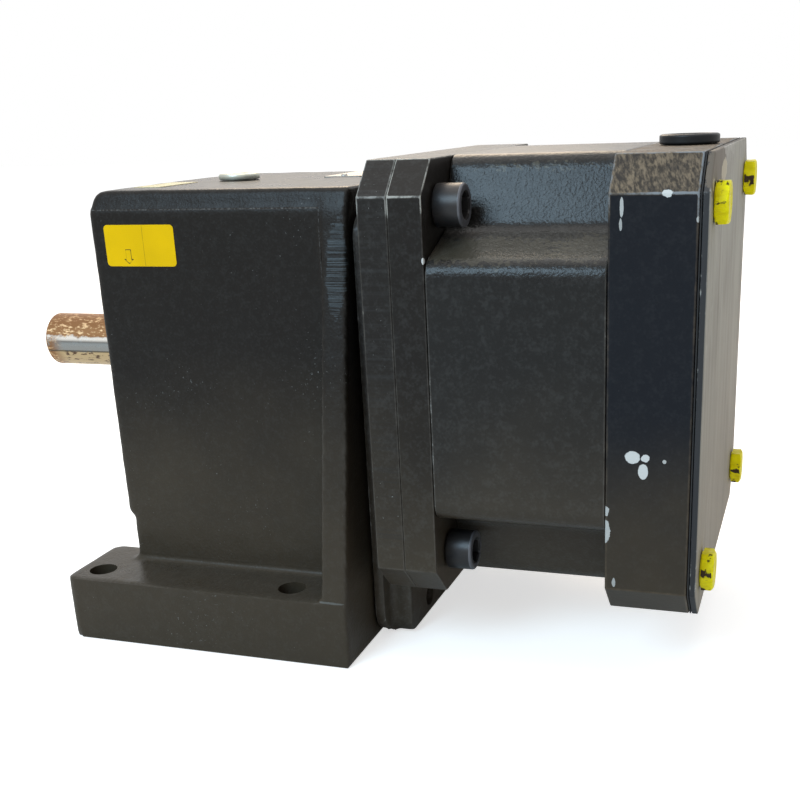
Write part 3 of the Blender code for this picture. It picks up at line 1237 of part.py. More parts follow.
def make_small_parts(steel, rubber, zinc, black, board):
    """Output seal, bearing spacer and circlip, filler plug, terminal block and encoder board."""
    boss_front = CASE_FRONT - BOSS_LENGTH
    seal_x = boss_front + SEAL_INSET
    lip_seal("output_seal", seal_x, OUTPUT_SEAL_WIDTH, SHAFT_SEAT, OUTPUT_SEAL, rubber)
    outside = OUTPUT_BEARING[1]
    bore = outside - 2 * BEARING_CLIP_RIM
    spacer = (OUTPUT_FRONT_BEARING_X + OUTPUT_BEARING[2] + FIT, OUTPUT_REAR_BEARING_X - FIT, bore, outside)
    ring("bearing_spacer", *spacer, BEARING_ROUND, height=SHAFT_HEIGHT, finish=steel)
    clip_x = OUTPUT_REAR_BEARING_X + OUTPUT_BEARING[2] + CIRCLIP_PLAY
    clip = (clip_x, clip_x + CIRCLIP, bore, outside + 2 * CLIP_GROOVE_DEPTH - 2 * FIT)
    ring("bearing_circlip", *clip, BEARING_ROUND, height=SHAFT_HEIGHT, finish=black)
    plug_profile = [
        (0.0, 0.0),
        (0.0, PLUG_THREAD / 2),
        (PLUG_DEPTH, PLUG_THREAD / 2),
        (PLUG_DEPTH, PLUG_HEAD / 2),
        (PLUG_DEPTH + PLUG_HEAD_HEIGHT - PLUG_EDGE, PLUG_HEAD / 2),
        (PLUG_DEPTH + PLUG_HEAD_HEIGHT, PLUG_HEAD / 2 - PLUG_EDGE),
        (PLUG_DEPTH + PLUG_HEAD_HEIGHT, 0.0),
    ]
    plug = turned("filler_plug", plug_profile, BEARING_ROUND, finish=zinc)
    stand(plug, (PLUG_X, 0.0, CASE_HEIGHT + FIT - PLUG_DEPTH))
    plug_top = CASE_HEIGHT + PLUG_HEAD_HEIGHT + PAST
    socket = (CASE_HEIGHT - PLUG_SOCKET_SUNK, plug_top, across_corners(PLUG_SOCKET))
    cut(plug, bars("plug_socket", [(PLUG_X, 0.0)], *socket, HEX_FACETS, along="Z"))

    floor_x = BLOCK_X + BLOCK_FLOOR + FIT
    height = SHAFT_HEIGHT + TERMINAL_HEIGHT
    face_x = floor_x + TERMINAL_BLOCK[0]
    middle = ((floor_x + face_x) / 2, 0.0, height)
    terminal = block("terminal_block", middle, TERMINAL_BLOCK, finish=black)
    studs = [(y, height) for y in TERMINAL_STUDS_Y]
    well = (face_x - TERMINAL_WELL_DEPTH, face_x + PAST, TERMINAL_WELL)
    cut(terminal, bars("terminal_wells", studs, *well, TINY_FACETS))
    half = ENCODER_BOARD / 2
    edge = rounded(rectangle(half, -half, half, CAVITY_CORNER), CAST_CORNER_FACETS)
    edges = [edge, circle(ENCODER_BOARD_HOLE / 2, BEARING_ROUND)]
    board_rear = floor_x + ENCODER_BOARD_THICKNESS
    plate("encoder_board", edges, floor_x, board_rear, height=SHAFT_HEIGHT, finish=board)


def main():
    """Build every piece in place."""
    clear_scene()
    iron = material("black_cast_iron", (0.018, 0.018, 0.019), 0.5)
    paint = material("black_motor_paint", (0.016, 0.016, 0.017), 0.42)
    plate_paint = material("black_sawn_plate", (0.02, 0.02, 0.02), 0.6)
    steel = material("ground_steel", (0.55, 0.54, 0.52), 0.28, 1.0)
    gear_steel = material("gear_steel", (0.42, 0.4, 0.38), 0.32, 1.0)
    bearing_steel = material("bearing_steel", (0.66, 0.66, 0.66), 0.15, 1.0)
    black = material("black_oxide_steel", (0.03, 0.03, 0.03), 0.4, 0.6)
    zinc = material("zinc_plated_steel", (0.6, 0.6, 0.52), 0.3, 1.0)
    raw = material("bare_rear_plate", (0.55, 0.53, 0.5), 0.5, 0.5)
    yellow = material("yellow_sealing_paint", (0.85, 0.75, 0.02), 0.35)
    cap_plastic = material("black_cap_plastic", (0.01, 0.01, 0.01), 0.5)
    paper = material("gasket_paper", (0.09, 0.08, 0.07), 0.8)
    rubber = material("seal_rubber", (0.02, 0.02, 0.02), 0.7)
    copper = material("winding_copper", (0.6, 0.25, 0.1), 0.35, 0.8)
    laminate = material("electrical_steel", (0.35, 0.35, 0.36), 0.4, 0.9)
    magnet_finish = material("nickel_magnet", (0.6, 0.6, 0.58), 0.25, 1.0)
    board = material("circuit_board", (0.02, 0.14, 0.06), 0.45)

    output_axis = axis_empty("output_axis", SHAFT_HEIGHT)
    layshaft_axis = axis_empty("layshaft_axis", LAYSHAFT_HEIGHT)
    rotor_axis = axis_empty("rotor_axis", SHAFT_HEIGHT)

    make_gear_case(iron)
    make_input_cover(iron, paper)
    make_adapter_plate(plate_paint, rubber)
    make_motor_housing(paint, black)
    make_rear_block(paint, raw, yellow, cap_plastic, paper)
    make_stator(laminate, copper)
    make_small_parts(steel, rubber, zinc, black, board)
    make_output(output_axis, steel, gear_steel, black)
    make_layshaft(layshaft_axis, steel, gear_steel, black)
    make_rotor(rotor_axis, steel, gear_steel, laminate, magnet_finish, board)

    on_main = {"height": SHAFT_HEIGHT}
    output = {"parent": output_axis}
    layshaft = {"parent": layshaft_axis}
    rotor = {"parent": rotor_axis}
    low = {"height": LAYSHAFT_HEIGHT}
    bearings = [
        ("output_front_bearing", OUTPUT_BEARING, OUTPUT_FRONT_BEARING_X, on_main, output, True),
        ("output_rear_bearing", OUTPUT_BEARING, OUTPUT_REAR_BEARING_X, on_main, output, True),
        ("layshaft_front_bearing", LAYSHAFT_BEARING, LAYSHAFT_FRONT_BEARING_X, low, layshaft, False),
        ("layshaft_rear_bearing", LAYSHAFT_BEARING, LAYSHAFT_REAR_BEARING_X, low, layshaft, False),
        ("rotor_front_bearing", ROTOR_FRONT_BEARING, ROTOR_FRONT_BEARING_X, on_main, rotor, False),
        ("rotor_rear_bearing", ROTOR_REAR_BEARING, ROTOR_REAR_BEARING_X, on_main, rotor, False),
    ]
    for name, sizes, start, outer, inner, with_balls in bearings:
        bearing(name, sizes, start, outer, inner, bearing_steel, with_balls)


main()
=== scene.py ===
"""Looks of the foot-mounted gearmotor: fine surfaces, worn paint and bare steel on the solids."""

import logging
import math
from dataclasses import dataclass, field
from enum import Enum

import bpy
import numpy as np
from mathutils import Matrix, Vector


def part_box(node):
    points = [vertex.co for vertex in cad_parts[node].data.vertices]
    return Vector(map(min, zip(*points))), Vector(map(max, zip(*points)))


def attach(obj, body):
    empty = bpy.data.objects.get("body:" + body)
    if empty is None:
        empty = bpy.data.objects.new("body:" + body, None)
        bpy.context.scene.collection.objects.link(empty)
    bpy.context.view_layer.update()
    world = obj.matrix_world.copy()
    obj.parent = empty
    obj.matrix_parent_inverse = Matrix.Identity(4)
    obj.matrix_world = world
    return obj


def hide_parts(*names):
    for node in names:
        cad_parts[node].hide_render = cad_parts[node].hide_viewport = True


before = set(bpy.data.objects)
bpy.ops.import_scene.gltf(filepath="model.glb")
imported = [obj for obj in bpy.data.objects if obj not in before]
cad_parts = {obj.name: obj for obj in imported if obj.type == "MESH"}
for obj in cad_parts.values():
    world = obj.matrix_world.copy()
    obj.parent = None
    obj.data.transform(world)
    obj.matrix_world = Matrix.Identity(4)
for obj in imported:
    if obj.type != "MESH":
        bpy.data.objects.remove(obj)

MM = 0.001
TURN = 2 * math.pi
SHAFT_HEIGHT = 130.0
LAYSHAFT_HEIGHT = 68.0
WEAR_TURN = 0.207
FLANK_SCREWS = [(0, y, z) for y in (-56.5, 56.5) for z in (50, 110, 170)]
COVER_SCREWS = np.array(FLANK_SCREWS + [(0, -34, 10), (0, 34, 10)])

log = logging.getLogger("gearmotor")

Corner = tuple[float, float, float]
Spot = tuple[float, float, float]
Colour = tuple[float, float, float]
Object = bpy.types.Object
Material = bpy.types.Material
Socket = bpy.types.NodeSocket
Value = Socket | float | tuple[float, ...]


# Shapes as arrays


class Axis(Enum):
    """Which way a stack of outlines or a turned profile runs."""

    X = "X"
    Y = "Y"
    Z = "Z"


def unit(vectors: np.ndarray) -> np.ndarray:
    """Vectors divided by their lengths."""
    return vectors / np.linalg.norm(vectors, axis=-1, keepdims=True)


def inset(corners: np.ndarray, depth: float) -> np.ndarray:
    """Move a polygon's corners inwards.

    Formula: each corner moves by depth times the sum of its two inward side normals, divided by one
    plus their dot product. An outer corner's radius shrinks by depth and an inner corner's grows.

    Args:
        corners: Rows of u, v and corner radius, counter-clockwise.
        depth: How far each side moves inwards.

    Returns:
        Rows of the same form.
    """
    places = corners[:, :2]
    ahead = unit(np.roll(places, -1, axis=0) - places)
    behind = np.roll(ahead, 1, axis=0)
    inward, inward_behind = (np.stack([-side[:, 1], side[:, 0]], axis=1) for side in (ahead, behind))
    share = 1 + np.sum(inward * inward_behind, axis=1, keepdims=True)
    moved = places + depth * (inward + inward_behind) / share
    outer = behind[:, 0] * ahead[:, 1] - behind[:, 1] * ahead[:, 0] > 0
    radii = np.maximum(corners[:, 2] + np.where(outer, -depth, depth), 0.05)
    return np.column_stack([moved, radii])


def rounded_outline(corners: np.ndarray, steps: int = 4, guard: float = 0.8, spans: int = 6) -> np.ndarray:
    """Points of a polygon with round corners.

    Formula: a corner of radius r and half angle h is an arc about the point on its bisector that lies
    r divided by sin h inside, and it leaves the sides r divided by tan h from the corner. A guard
    point follows each end of the arc, and further points divide the straight side evenly.

    Args:
        corners: Rows of u, v and corner radius, counter-clockwise.
        steps: Segments of each arc.
        guard: Distance of the guard points from the arc.
        spans: Parts that each straight side is divided into.

    Returns:
        The points, as rows of u and v, the same number for each corner.
    """
    places, radius = corners[:, :2], corners[:, 2:3]
    back = unit(np.roll(places, 1, axis=0) - places)
    ahead = unit(np.roll(places, -1, axis=0) - places)
    half = np.arccos(np.clip(np.sum(back * ahead, axis=1, keepdims=True), -1, 1)) / 2
    reach = radius / np.tan(half)
    centre = places + unit(back + ahead) * radius / np.sin(half)
    start = np.arctan2(*(places + back * reach - centre).T[::-1])[:, None]
    end = np.arctan2(*(places + ahead * reach - centre).T[::-1])[:, None]
    sweep = (end - start + math.pi) % TURN - math.pi
    angle = start + sweep * np.linspace(0, 1, steps + 1)
    arc = centre[:, None] + radius[:, None] * np.stack([np.cos(angle), np.sin(angle)], axis=-1)
    before = (places + back * (reach + guard))[:, None]
    leave = places + ahead * (reach + guard)
    arrive = np.roll(places + back * (reach + guard), -1, axis=0)
    share = np.linspace(0, 1, spans, endpoint=False)[:, None, None]
    side = (leave + (arrive - leave) * share).transpose(1, 0, 2)
    return np.concatenate([before, arc, side], axis=1).reshape(-1, 2)


def outline_wear(corners: np.ndarray, steps: int = 4, spans: int = 6) -> np.ndarray:
    """One at the points of small round corners, zero elsewhere, in the order of rounded_outline."""
    worn = np.zeros((len(corners), steps + 2 + spans))
    worn[corners[:, 2] < 2.0, 1 : steps + 2] = 1
    return worn.reshape(-1)


def soft_path(
    points: list[tuple[float, float]], radius: float, steps: int = 3
) -> tuple[np.ndarray, np.ndarray]:
    """Round the inner corners of an open path.

    Formula: a corner becomes the curve (1-t)^2 a + 2t(1-t) c + t^2 b between points a and b that lie
    on its two sides, at the radius or a third of the side from the corner c.

    Args:
        points: The path's corners.
        radius: How far from the corner the rounding starts.
        steps: Segments of each rounding.

    Returns:
        The points, and a value for each that is one on a rounding and zero elsewhere.
    """
    path = np.array(points, float)
    corner, last, following = path[1:-1], path[:-2], path[2:]
    to_last, to_next = last - corner, following - corner
    reach_last = np.minimum(radius, np.linalg.norm(to_last, axis=1) / 3)[:, None]
    reach_next = np.minimum(radius, np.linalg.norm(to_next, axis=1) / 3)[:, None]
    start = corner + unit(to_last) * reach_last
    end = corner + unit(to_next) * reach_next
    guards = (corner + unit(to_last) * reach_last * 1.35, corner + unit(to_next) * reach_next * 1.35)
    t = np.linspace(0, 1, steps + 1)[:, None, None]
    curve = (1 - t) ** 2 * start + 2 * t * (1 - t) * corner + t**2 * end
    rows = np.concatenate([guards[0][None], curve, guards[1][None]]).transpose(1, 0, 2)
    worn = np.ones(rows.shape[:2])
    worn[:, [0, -1]] = 0
    return (
        np.concatenate([path[:1], rows.reshape(-1, 2), path[-1:]]),
        np.concatenate([[0], worn.reshape(-1), [0]]),
    )


@dataclass
class Shell:
    """A closed surface: points in millimetres, four-sided and three-sided faces, and wear from 0 to 1."""

    points: np.ndarray
    quads: np.ndarray
    triangles: np.ndarray
    wear: np.ndarray

    @classmethod
    def from_grid(cls, grid: np.ndarray, ring: bool = False, wear: np.ndarray | None = None) -> "Shell":
        """Close a grid of points into a shell.

        Formula: the columns always close on themselves. The rows close on themselves in a ring, and
        otherwise the first and last row are each closed by a fan about their mean. The faces are
        turned outwards where six times the volume, the sum of p0 . (p1 x p2), is negative.

        Args:
            grid: Points by row, column and coordinate.
            ring: Whether the last row joins the first.
            wear: Values by row and column.

        Returns:
            The shell.
        """
        rows, columns = grid.shape[:2]
        index = np.arange(rows * columns).reshape(rows, columns)
        low = index if ring else index[:-1]
        high = np.roll(index, -1, axis=0) if ring else index[1:]
        quads = np.stack([low, np.roll(low, -1, 1), np.roll(high, -1, 1), high], axis=-1).reshape(-1, 4)
        points = grid.reshape(-1, 3)
        values = np.zeros(rows * columns) if wear is None else wear.reshape(-1)
        triangles = np.empty((0, 3), int)
        if not ring:
            first, last = index[0], index[-1]
            poles = np.full((2, columns), [[rows * columns], [rows * columns + 1]])
            triangles = np.concatenate(
                [
                    np.stack([np.roll(first, -1), first, poles[0]], axis=1),
                    np.stack([last, np.roll(last, -1), poles[1]], axis=1),
                ]
            )
            points = np.concatenate([points, grid[[0, -1]].mean(axis=1)])
            values = np.concatenate([values, [0, 0]])
        shell = cls(points, quads, triangles, values)
        return shell if shell.volume() > 0 else shell.turned_inside_out()

    def volume(self) -> float:
        """Six times the enclosed volume, negative where the faces point inwards."""
        halves = np.concatenate([self.quads[:, [0, 1, 2]], self.quads[:, [0, 2, 3]], self.triangles])
        corners = self.points[halves]
        return float(np.einsum("ij,ij->", corners[:, 0], np.cross(corners[:, 1], corners[:, 2])))

    def turned_inside_out(self) -> "Shell":
        """The same shell with every face reversed."""
        return Shell(self.points, self.quads[:, ::-1], self.triangles[:, ::-1], self.wear)

    def moved(self, places: np.ndarray) -> "Shell":
        """Copies of the shell moved to each place, in one shell."""
        count, size = len(places), len(self.points)
        offset = (np.arange(count) * size)[:, None, None]
        return Shell(
            (self.points + np.asarray(places, float)[:, None]).reshape(-1, 3),
            (self.quads + offset).reshape(-1, 4),
            (self.triangles + offset).reshape(-1, 3),
            np.tile(self.wear, count),
        )

    def made(self, name: str, crease_deg: float = 40.0) -> Object:
        """Put the shell into a mesh object with smooth faces and creases at sharp angles.

        Args:
            name: The object's name.
            crease_deg: Angle above which an edge stays sharp.

        Returns:
            The object, in metres, with the wear as the point attribute "edge".
        """
        mesh = bpy.data.meshes.new(name)
        mesh.from_pydata(self.points * MM, [], self.quads.tolist() + self.triangles.tolist())
        layer = mesh.attributes.new("edge", "FLOAT", "POINT")
        layer.data.foreach_set("value", self.wear.astype(np.float32))
        mesh.shade_smooth()
        mesh.set_sharp_from_angle(angle=math.radians(crease_deg))
        made = bpy.data.objects.new(name, mesh)
        bpy.context.scene.collection.objects.link(made)
        return made


def laid(pairs: np.ndarray, station: np.ndarray, axis: Axis) -> np.ndarray:
    """Put flat coordinates and a station along an axis together as x, y and z.

    Args:
        pairs: The flat coordinates.
        station: The place along the axis.
        axis: The axis.

    Returns:
        Points as x, y and z.
    """
    u, v = pairs[..., 0], pairs[..., 1]
    w = np.broadcast_to(station, u.shape)
    order = {Axis.X: (w, u, v), Axis.Y: (v, w, u), Axis.Z: (u, v, w)}[axis]
    return np.stack(order, axis=-1)


def tower(levels: list[tuple[float, list[Corner]]], axis: Axis = Axis.Z, steps: int = 4) -> Shell:
    """A solid between outlines at stations along an axis.

    Args:
        levels: For each station its place along the axis and its corners with radii.
        axis: The axis.
        steps: Segments of each rounded corner.

    Returns:
        The closed shell.
    """
    outlines = [rounded_outline(np.array(corners, float), steps) for _, corners in levels]
    rows = [laid(outline, station, axis) for outline, (station, _) in zip(outlines, levels)]
    return Shell.from_grid(np.array(rows))


def plate(
    corners: list[Corner],
    start: float,
    end: float,
    bore: list[tuple[float, float]],
    edge: float = 0.7,
    middle: tuple[float, float] = (0.0, SHAFT_HEIGHT),
    axis: Axis = Axis.X,
    spans: int = 6,
) -> Shell:
    """A plate with softened edges and a stepped bore, as a profile carried round its outline.

    Formula: the profile runs over the front face, round the edge, along the side, round the other
    edge, over the rear face and back through the bore. On an edge of radius e the outline lies
    e (1 - sin t) inside and the station e (1 - cos t) behind the face, for t from 0 to a quarter turn.

    Args:
        corners: The outline's corners with radii, about the middle.
        start: Station of the front face.
        end: Station of the rear face.
        bore: Stations and radii of the bore, from the rear face to the front face.
        edge: Radius of the edges.
        middle: The flat coordinates of the plate's middle.
        axis: The plate's axis.
        spans: Parts that each straight side is divided into.

    Returns:
        The closed shell, with wear on its edges.
    """
    outline = np.array(corners, float)
    t = np.linspace(0, math.pi / 2, 4)
    depth, back = edge * (1 - np.sin(t)), edge * (1 - np.cos(t))
    depths = np.concatenate([[edge * 2.2], depth, [0, 0], depth[::-1], [edge * 2.2]])
    rims = np.concatenate([[0], back, [edge * 2.2]])
    stations = np.concatenate([start + rims, end - rims[::-1]])
    on_edge = np.concatenate([[0], np.ones(4), [0, 0], np.ones(4), [0]])
    loops = np.array([rounded_outline(inset(outline, value), spans=spans) for value in depths])
    rounding = outline_wear(outline, spans=spans)[None] * (depths < edge)[:, None]
    wear = np.maximum(on_edge[:, None], rounding)
    angle = np.arctan2(loops[0, :, 1], loops[0, :, 0])
    steps = np.array(bore, float)
    circles = steps[:, 1][:, None, None] * np.stack([np.cos(angle), np.sin(angle)], axis=-1)
    pairs = np.concatenate([loops, circles]) + np.array(middle)
    along = np.concatenate([stations, steps[:, 0]])[:, None]
    wear = np.concatenate([wear, np.zeros((len(steps), wear.shape[1]))])
    return Shell.from_grid(laid(pairs, along, axis), ring=True, wear=wear)


def round_bar(
    profile: list[tuple[float, float]],
    soft: float = 0.5,
    around: int = 96,
    middle: tuple[float, float] = (0.0, SHAFT_HEIGHT),
    axis: Axis = Axis.X,
    ring: bool = False,
) -> Shell:
    """A turned piece.

    Formula: the point at angle a of a profile point (x, r) lies at x along the axis and at r cos a
    and r sin a across it. The profile's corners are rounded first.

    Args:
        profile: Stations and radii, open where it meets the axis and closed in a ring.
        soft: How far the rounding of the profile's corners reaches.
        around: Points around the axis.
        middle: Where the axis passes.
        axis: The axis.
        ring: Whether the profile is a closed loop.

    Returns:
        The closed shell, with wear on its rounded edges.
    """
    if ring:
        closed = profile + profile[:2]
        path, worn = soft_path(closed, soft)
        path, worn = path[1:-1], worn[1:-1]
    else:
        path, worn = soft_path(profile, soft)
    angle = np.arange(around) * TURN / around
    circle = np.stack([np.cos(angle), np.sin(angle)], axis=-1)
    pairs = np.maximum(path[:, 1], 0.2)[:, None, None] * circle + np.array(middle)
    return Shell.from_grid(laid(pairs, path[:, :1], axis), ring, np.repeat(worn[:, None], around, axis=1))


def hexagon_reach(angle: np.ndarray, across_flats: float) -> np.ndarray:
    """Distance to a hexagon's side: half the flats' width over cos of the angle from the flat."""
    from_flat = (angle + math.pi / 6) % (math.pi / 3) - math.pi / 6
    return across_flats / 2 / np.cos(from_flat)


def place_corners(spread_y: float, spread_z: float | None = None) -> np.ndarray:
    """The four places of a rectangle, as rows of y and z about its middle."""
    half = np.array([spread_y, spread_y if spread_z is None else spread_z]) / 2
    return half * np.array([(-1, -1), (-1, 1), (1, -1), (1, 1)])


def square_corners(side: float, chamfer: float, softness: float = 0.9) -> list[Corner]:
    """Corners of a square with its corners cut off at 45 degrees, counter-clockwise."""
    half, cut = side / 2, side / 2 - chamfer
    right = [(half, -cut), (half, cut), (cut, half), (-cut, half)]
    return [(u, v, softness) for u, v in right + [(-u, -v) for u, v in right]]


def box_corners(half: float, low: float, high: float, radius: float) -> list[Corner]:
    """Corners of a rectangle between two heights, counter-clockwise."""
    return [(half, low, radius), (half, high, radius), (-half, high, radius), (-half, low, radius)]


# Work on mesh objects


def settled(obj: Object) -> Object:
    """Replace the object's mesh by what its modifiers make of it, and drop the modifiers."""
    graph = bpy.context.evaluated_depsgraph_get()
    mesh = bpy.data.meshes.new_from_object(obj.evaluated_get(graph), depsgraph=graph)
    obj.modifiers.clear()
    obj.data = mesh
    return obj


def combined(obj: Object, operation: str, others: list[Shell | Object]) -> Object:
    """Cut shells or other objects from an object, or unite them with it.

    Args:
        obj: The object that is changed.
        operation: The Boolean modifier's operation.
        others: The shells and objects. The objects are used up.

    Returns:
        The object.
    """
    for number, tool in enumerate(others):
        other = tool.made(f"{obj.name}_tool_{number}") if isinstance(tool, Shell) else tool
        if operation == "DIFFERENCE":
            other.data.attributes.remove(other.data.attributes["edge"])
        modifier = obj.modifiers.new(other.name, "BOOLEAN")
        modifier.operation, modifier.solver, modifier.object = operation, "EXACT", other
        settled(obj)
        bpy.data.objects.remove(other)
    return obj


def cast_form(name: str, shells: list[Shell], voxel: float, rounds: int) -> Object:
    """One cast body from overlapping shells, with every edge rounded as a mould leaves it.

    Args:
        name: The object's name.
        shells: The overlapping solids.
        voxel: Grid size of the remesh, in millimetres.
        rounds: Passes of smoothing.

    Returns:
        The object, without modifiers.
    """
    sizes = np.cumsum([0] + [len(shell.points) for shell in shells[:-1]])
    whole = Shell(
        np.concatenate([shell.points for shell in shells]),
        np.concatenate([shell.quads + size for shell, size in zip(shells, sizes)]),
        np.concatenate([shell.triangles + size for shell, size in zip(shells, sizes)]),
        np.concatenate([shell.wear for shell in shells]),
    )
    body = whole.made(name)
    remesh = body.modifiers.new("fine", "REMESH")
    remesh.mode, remesh.voxel_size, remesh.use_smooth_shade = "VOXEL", voxel * MM, True
    smooth = body.modifiers.new("mould", "SMOOTH")
    smooth.factor, smooth.iterations = 0.5, rounds
    body = settled(body)
    places = np.empty(len(body.data.vertices) * 3)
    body.data.vertices.foreach_get("co", places)
    places[2::3] = np.maximum(places[2::3], 0)
    body.data.vertices.foreach_set("co", places)
    return body


def mark_bends(obj: Object, full_mm: float) -> None:
    """Write how far each point stands out from its neighbours as the attributes "edge" and "hollow".

    Formula: the mean of a point's neighbours minus the point, taken along its normal, is negative on
    an outer edge and positive in a hollow. It is divided by the distance that counts as full.

    Args:
        obj: The object.
        full_mm: The distance at which the value is one.
    """
    mesh = obj.data
    count = len(mesh.vertices)
    places, normals = np.empty(count * 3), np.empty(count * 3, np.float32)
    mesh.vertices.foreach_get("co", places)
    mesh.vertex_normals.foreach_get("vector", normals)
    places, normals = places.reshape(-1, 3), normals.reshape(-1, 3)
    ends = np.empty(len(mesh.edges) * 2, int)
    mesh.edges.foreach_get("vertices", ends)
    ends = ends.reshape(-1, 2)
    ways = np.concatenate([ends, ends[:, ::-1]])
    neighbours = np.bincount(ways[:, 0], minlength=count)[:, None]
    total = np.stack([np.bincount(ways[:, 0], places[ways[:, 1], k], count) for k in range(3)], axis=1)
    bend = np.sum((total / neighbours - places) * normals, axis=1) / (full_mm * MM)
    for name, value in (("edge", -bend), ("hollow", bend)):
        layer = mesh.attributes.get(name) or mesh.attributes.new(name, "FLOAT", "POINT")
        layer.data.foreach_set("value", np.clip(value, 0, 1).astype(np.float32))


def unevenness(places: np.ndarray, pitch: float, seed: int) -> np.ndarray:
    """A smooth uneven field: the mean of sines of the place along twelve fixed directions.

    Args:
        places: Points, in any unit.
        pitch: Wavelength in the same unit.
        seed: Seed of the directions and phases.

    Returns:
        Values from about -1 to 1, one for each point.
    """
    source = np.random.default_rng(seed)
    ways = unit(source.normal(size=(12, 3))) * TURN / pitch * source.uniform(0.6, 1.5, (12, 1))
    return np.sin(places @ ways.T + source.uniform(0, TURN, 12)).mean(axis=1) * 2.5


def roughened(obj: Object, depth: float, pitch: float, seed: int) -> None:
    """Sink an object's points along their normals by an uneven depth, but leave its underside flat.

    Args:
        obj: The object.
        depth: The largest depth, in millimetres.
        pitch: Wavelength, in millimetres.
        seed: Seed of the field.
    """
    mesh = obj.data
    places, normals = np.empty(len(mesh.vertices) * 3), np.empty(len(mesh.vertices) * 3, np.float32)
    mesh.vertices.foreach_get("co", places)
    mesh.vertex_normals.foreach_get("vector", normals)
    places, normals = places.reshape(-1, 3), normals.reshape(-1, 3)
    level = np.clip(unevenness(places / MM, pitch, seed) * 0.5 + 0.5, 0, 1) * depth * MM
    level[normals[:, 2] < -0.5] = 0
    places -= normals * level[:, None]
    places[:, 2] = np.maximum(places[:, 2], 0)
    mesh.vertices.foreach_set("co", places.reshape(-1))
    mesh.update()


# Shader nodes


class Wiring:
    """Short calls that add nodes to one node tree and join them."""

    def __init__(self, tree: bpy.types.NodeTree) -> None:
        """Work on this tree."""
        self.tree = tree

    def add(self, kind: str, **settings: object) -> bpy.types.Node:
        """Add a node of this kind with these settings.

        Args:
            kind: The node's kind.
            settings: Its settings by name.

        Returns:
            The node.
        """
        node = self.tree.nodes.new(kind)
        for name, value in settings.items():
            setattr(node, name, value)
        return node

    def feed(self, socket: Socket, value: Value) -> None:
        """Link a socket to another one, or set its own value.

        Args:
            socket: The input.
            value: Another socket, or a plain value.
        """
        if isinstance(value, Socket):
            self.tree.links.new(value, socket)
        elif socket.type == "RGBA" and len(value) == 3:
            socket.default_value = (*value, 1.0)
        else:
            socket.default_value = value

    def calculation(self, kind: str, operation: str, values: tuple[Value, ...]) -> bpy.types.Node:
        """Add a node that calculates.

        Args:
            kind: The node's kind.
            operation: What it works out.
            values: Its inputs in order.

        Returns:
            The node.
        """
        node = self.add(kind, operation=operation)
        for socket, value in zip(node.inputs, values):
            self.feed(socket, value)
        return node

    def math(self, operation: str, *values: Value) -> Socket:
        """The result of a calculation with numbers."""
        return self.calculation("ShaderNodeMath", operation, values).outputs[0]

    def vector(self, operation: str, *values: Value) -> bpy.types.Node:
        """The node of a calculation with vectors."""
        return self.calculation("ShaderNodeVectorMath", operation, values)

    def times(self, first: Value, second: Value) -> Socket:
        """The product of two numbers."""
        return self.math("MULTIPLY", first, second)

    def plus(self, first: Value, second: Value) -> Socket:
        """The sum of two numbers."""
        return self.math("ADD", first, second)

    def minus(self, first: Value, second: Value) -> Socket:
        """The first number less the second."""
        return self.math("SUBTRACT", first, second)

    def times_plus(self, first: Value, second: Value, third: Value) -> Socket:
        """The product of two numbers plus a third."""
        return self.math("MULTIPLY_ADD", first, second, third)

    def larger(self, first: Value, second: Value) -> Socket:
        """The larger of two numbers."""
        return self.math("MAXIMUM", first, second)

    def rest(self, value: Value) -> Socket:
        """What is left of one."""
        return self.math("SUBTRACT", 1.0, value)

    def stretched(self, place: Value, shares: Value) -> Socket:
        """A place times three numbers, so that a pattern that reads it is drawn out."""
        return self.vector("MULTIPLY", place, shares).outputs[0]

    def place(self) -> Socket:
        """The place on the piece, in metres."""
        return self.add("ShaderNodeTexCoord").outputs["Object"]

    def split(self, vector: Socket) -> Socket:
        """The x, y and z of a vector."""
        node = self.add("ShaderNodeSeparateXYZ")
        self.feed(node.inputs[0], vector)
        return node.outputs

    def attribute(self, name: str) -> Socket:
        """A number kept on the mesh."""
        return self.add("ShaderNodeAttribute", attribute_name=name).outputs["Fac"]

    def noise(self, place: Value, scale: Value, detail: float = 2.0, rough: float = 0.5) -> Socket:
        """Noise between 0 and 1 with this many cycles to the metre.

        Args:
            place: The place that the pattern reads.
            scale: Cycles to the metre.
            detail: How many finer noises are added.
            rough: How strong the finer ones are.

        Returns:
            The noise.
        """
        node = self.add("ShaderNodeTexNoise")
        self.feed(node.inputs["Vector"], place)
        self.feed(node.inputs["Scale"], scale)
        node.inputs["Detail"].default_value = detail
        node.inputs["Roughness"].default_value = rough
        return node.outputs["Fac"]

    def ease(self, value: Value, low: Value, high: Value) -> Socket:
        """A soft step from 0 at low to 1 at high.

        Args:
            value: Another socket, or a plain value.
            low: Where the step starts.
            high: Where it ends.

        Returns:
            The step.
        """
        node = self.add("ShaderNodeMapRange", interpolation_type="SMOOTHSTEP")
        self.feed(node.inputs["Value"], value)
        self.feed(node.inputs["From Min"], low)
        self.feed(node.inputs["From Max"], high)
        return node.outputs[0]

    def blend(self, share: Value, first: Value, second: Value) -> Socket:
        """A colour between two colours.

        Args:
            share: Share of the second colour.
            first: The first colour.
            second: The second colour.

        Returns:
            The colour.
        """
        node = self.add("ShaderNodeMix", data_type="RGBA")
        self.feed(node.inputs[0], share)
        self.feed(node.inputs[6], first)
        self.feed(node.inputs[7], second)
        return node.outputs[2]

    def use(self, effect: bpy.types.NodeTree, **values: Value) -> Socket:
        """Place a shared effect and return its outputs.

        Args:
            effect: The node group.
            values: Its inputs by name.

        Returns:
            The group's outputs.
        """
        node = self.add("ShaderNodeGroup", node_tree=effect)
        for name, value in values.items():
            self.feed(node.inputs[name], value)
        return node.outputs


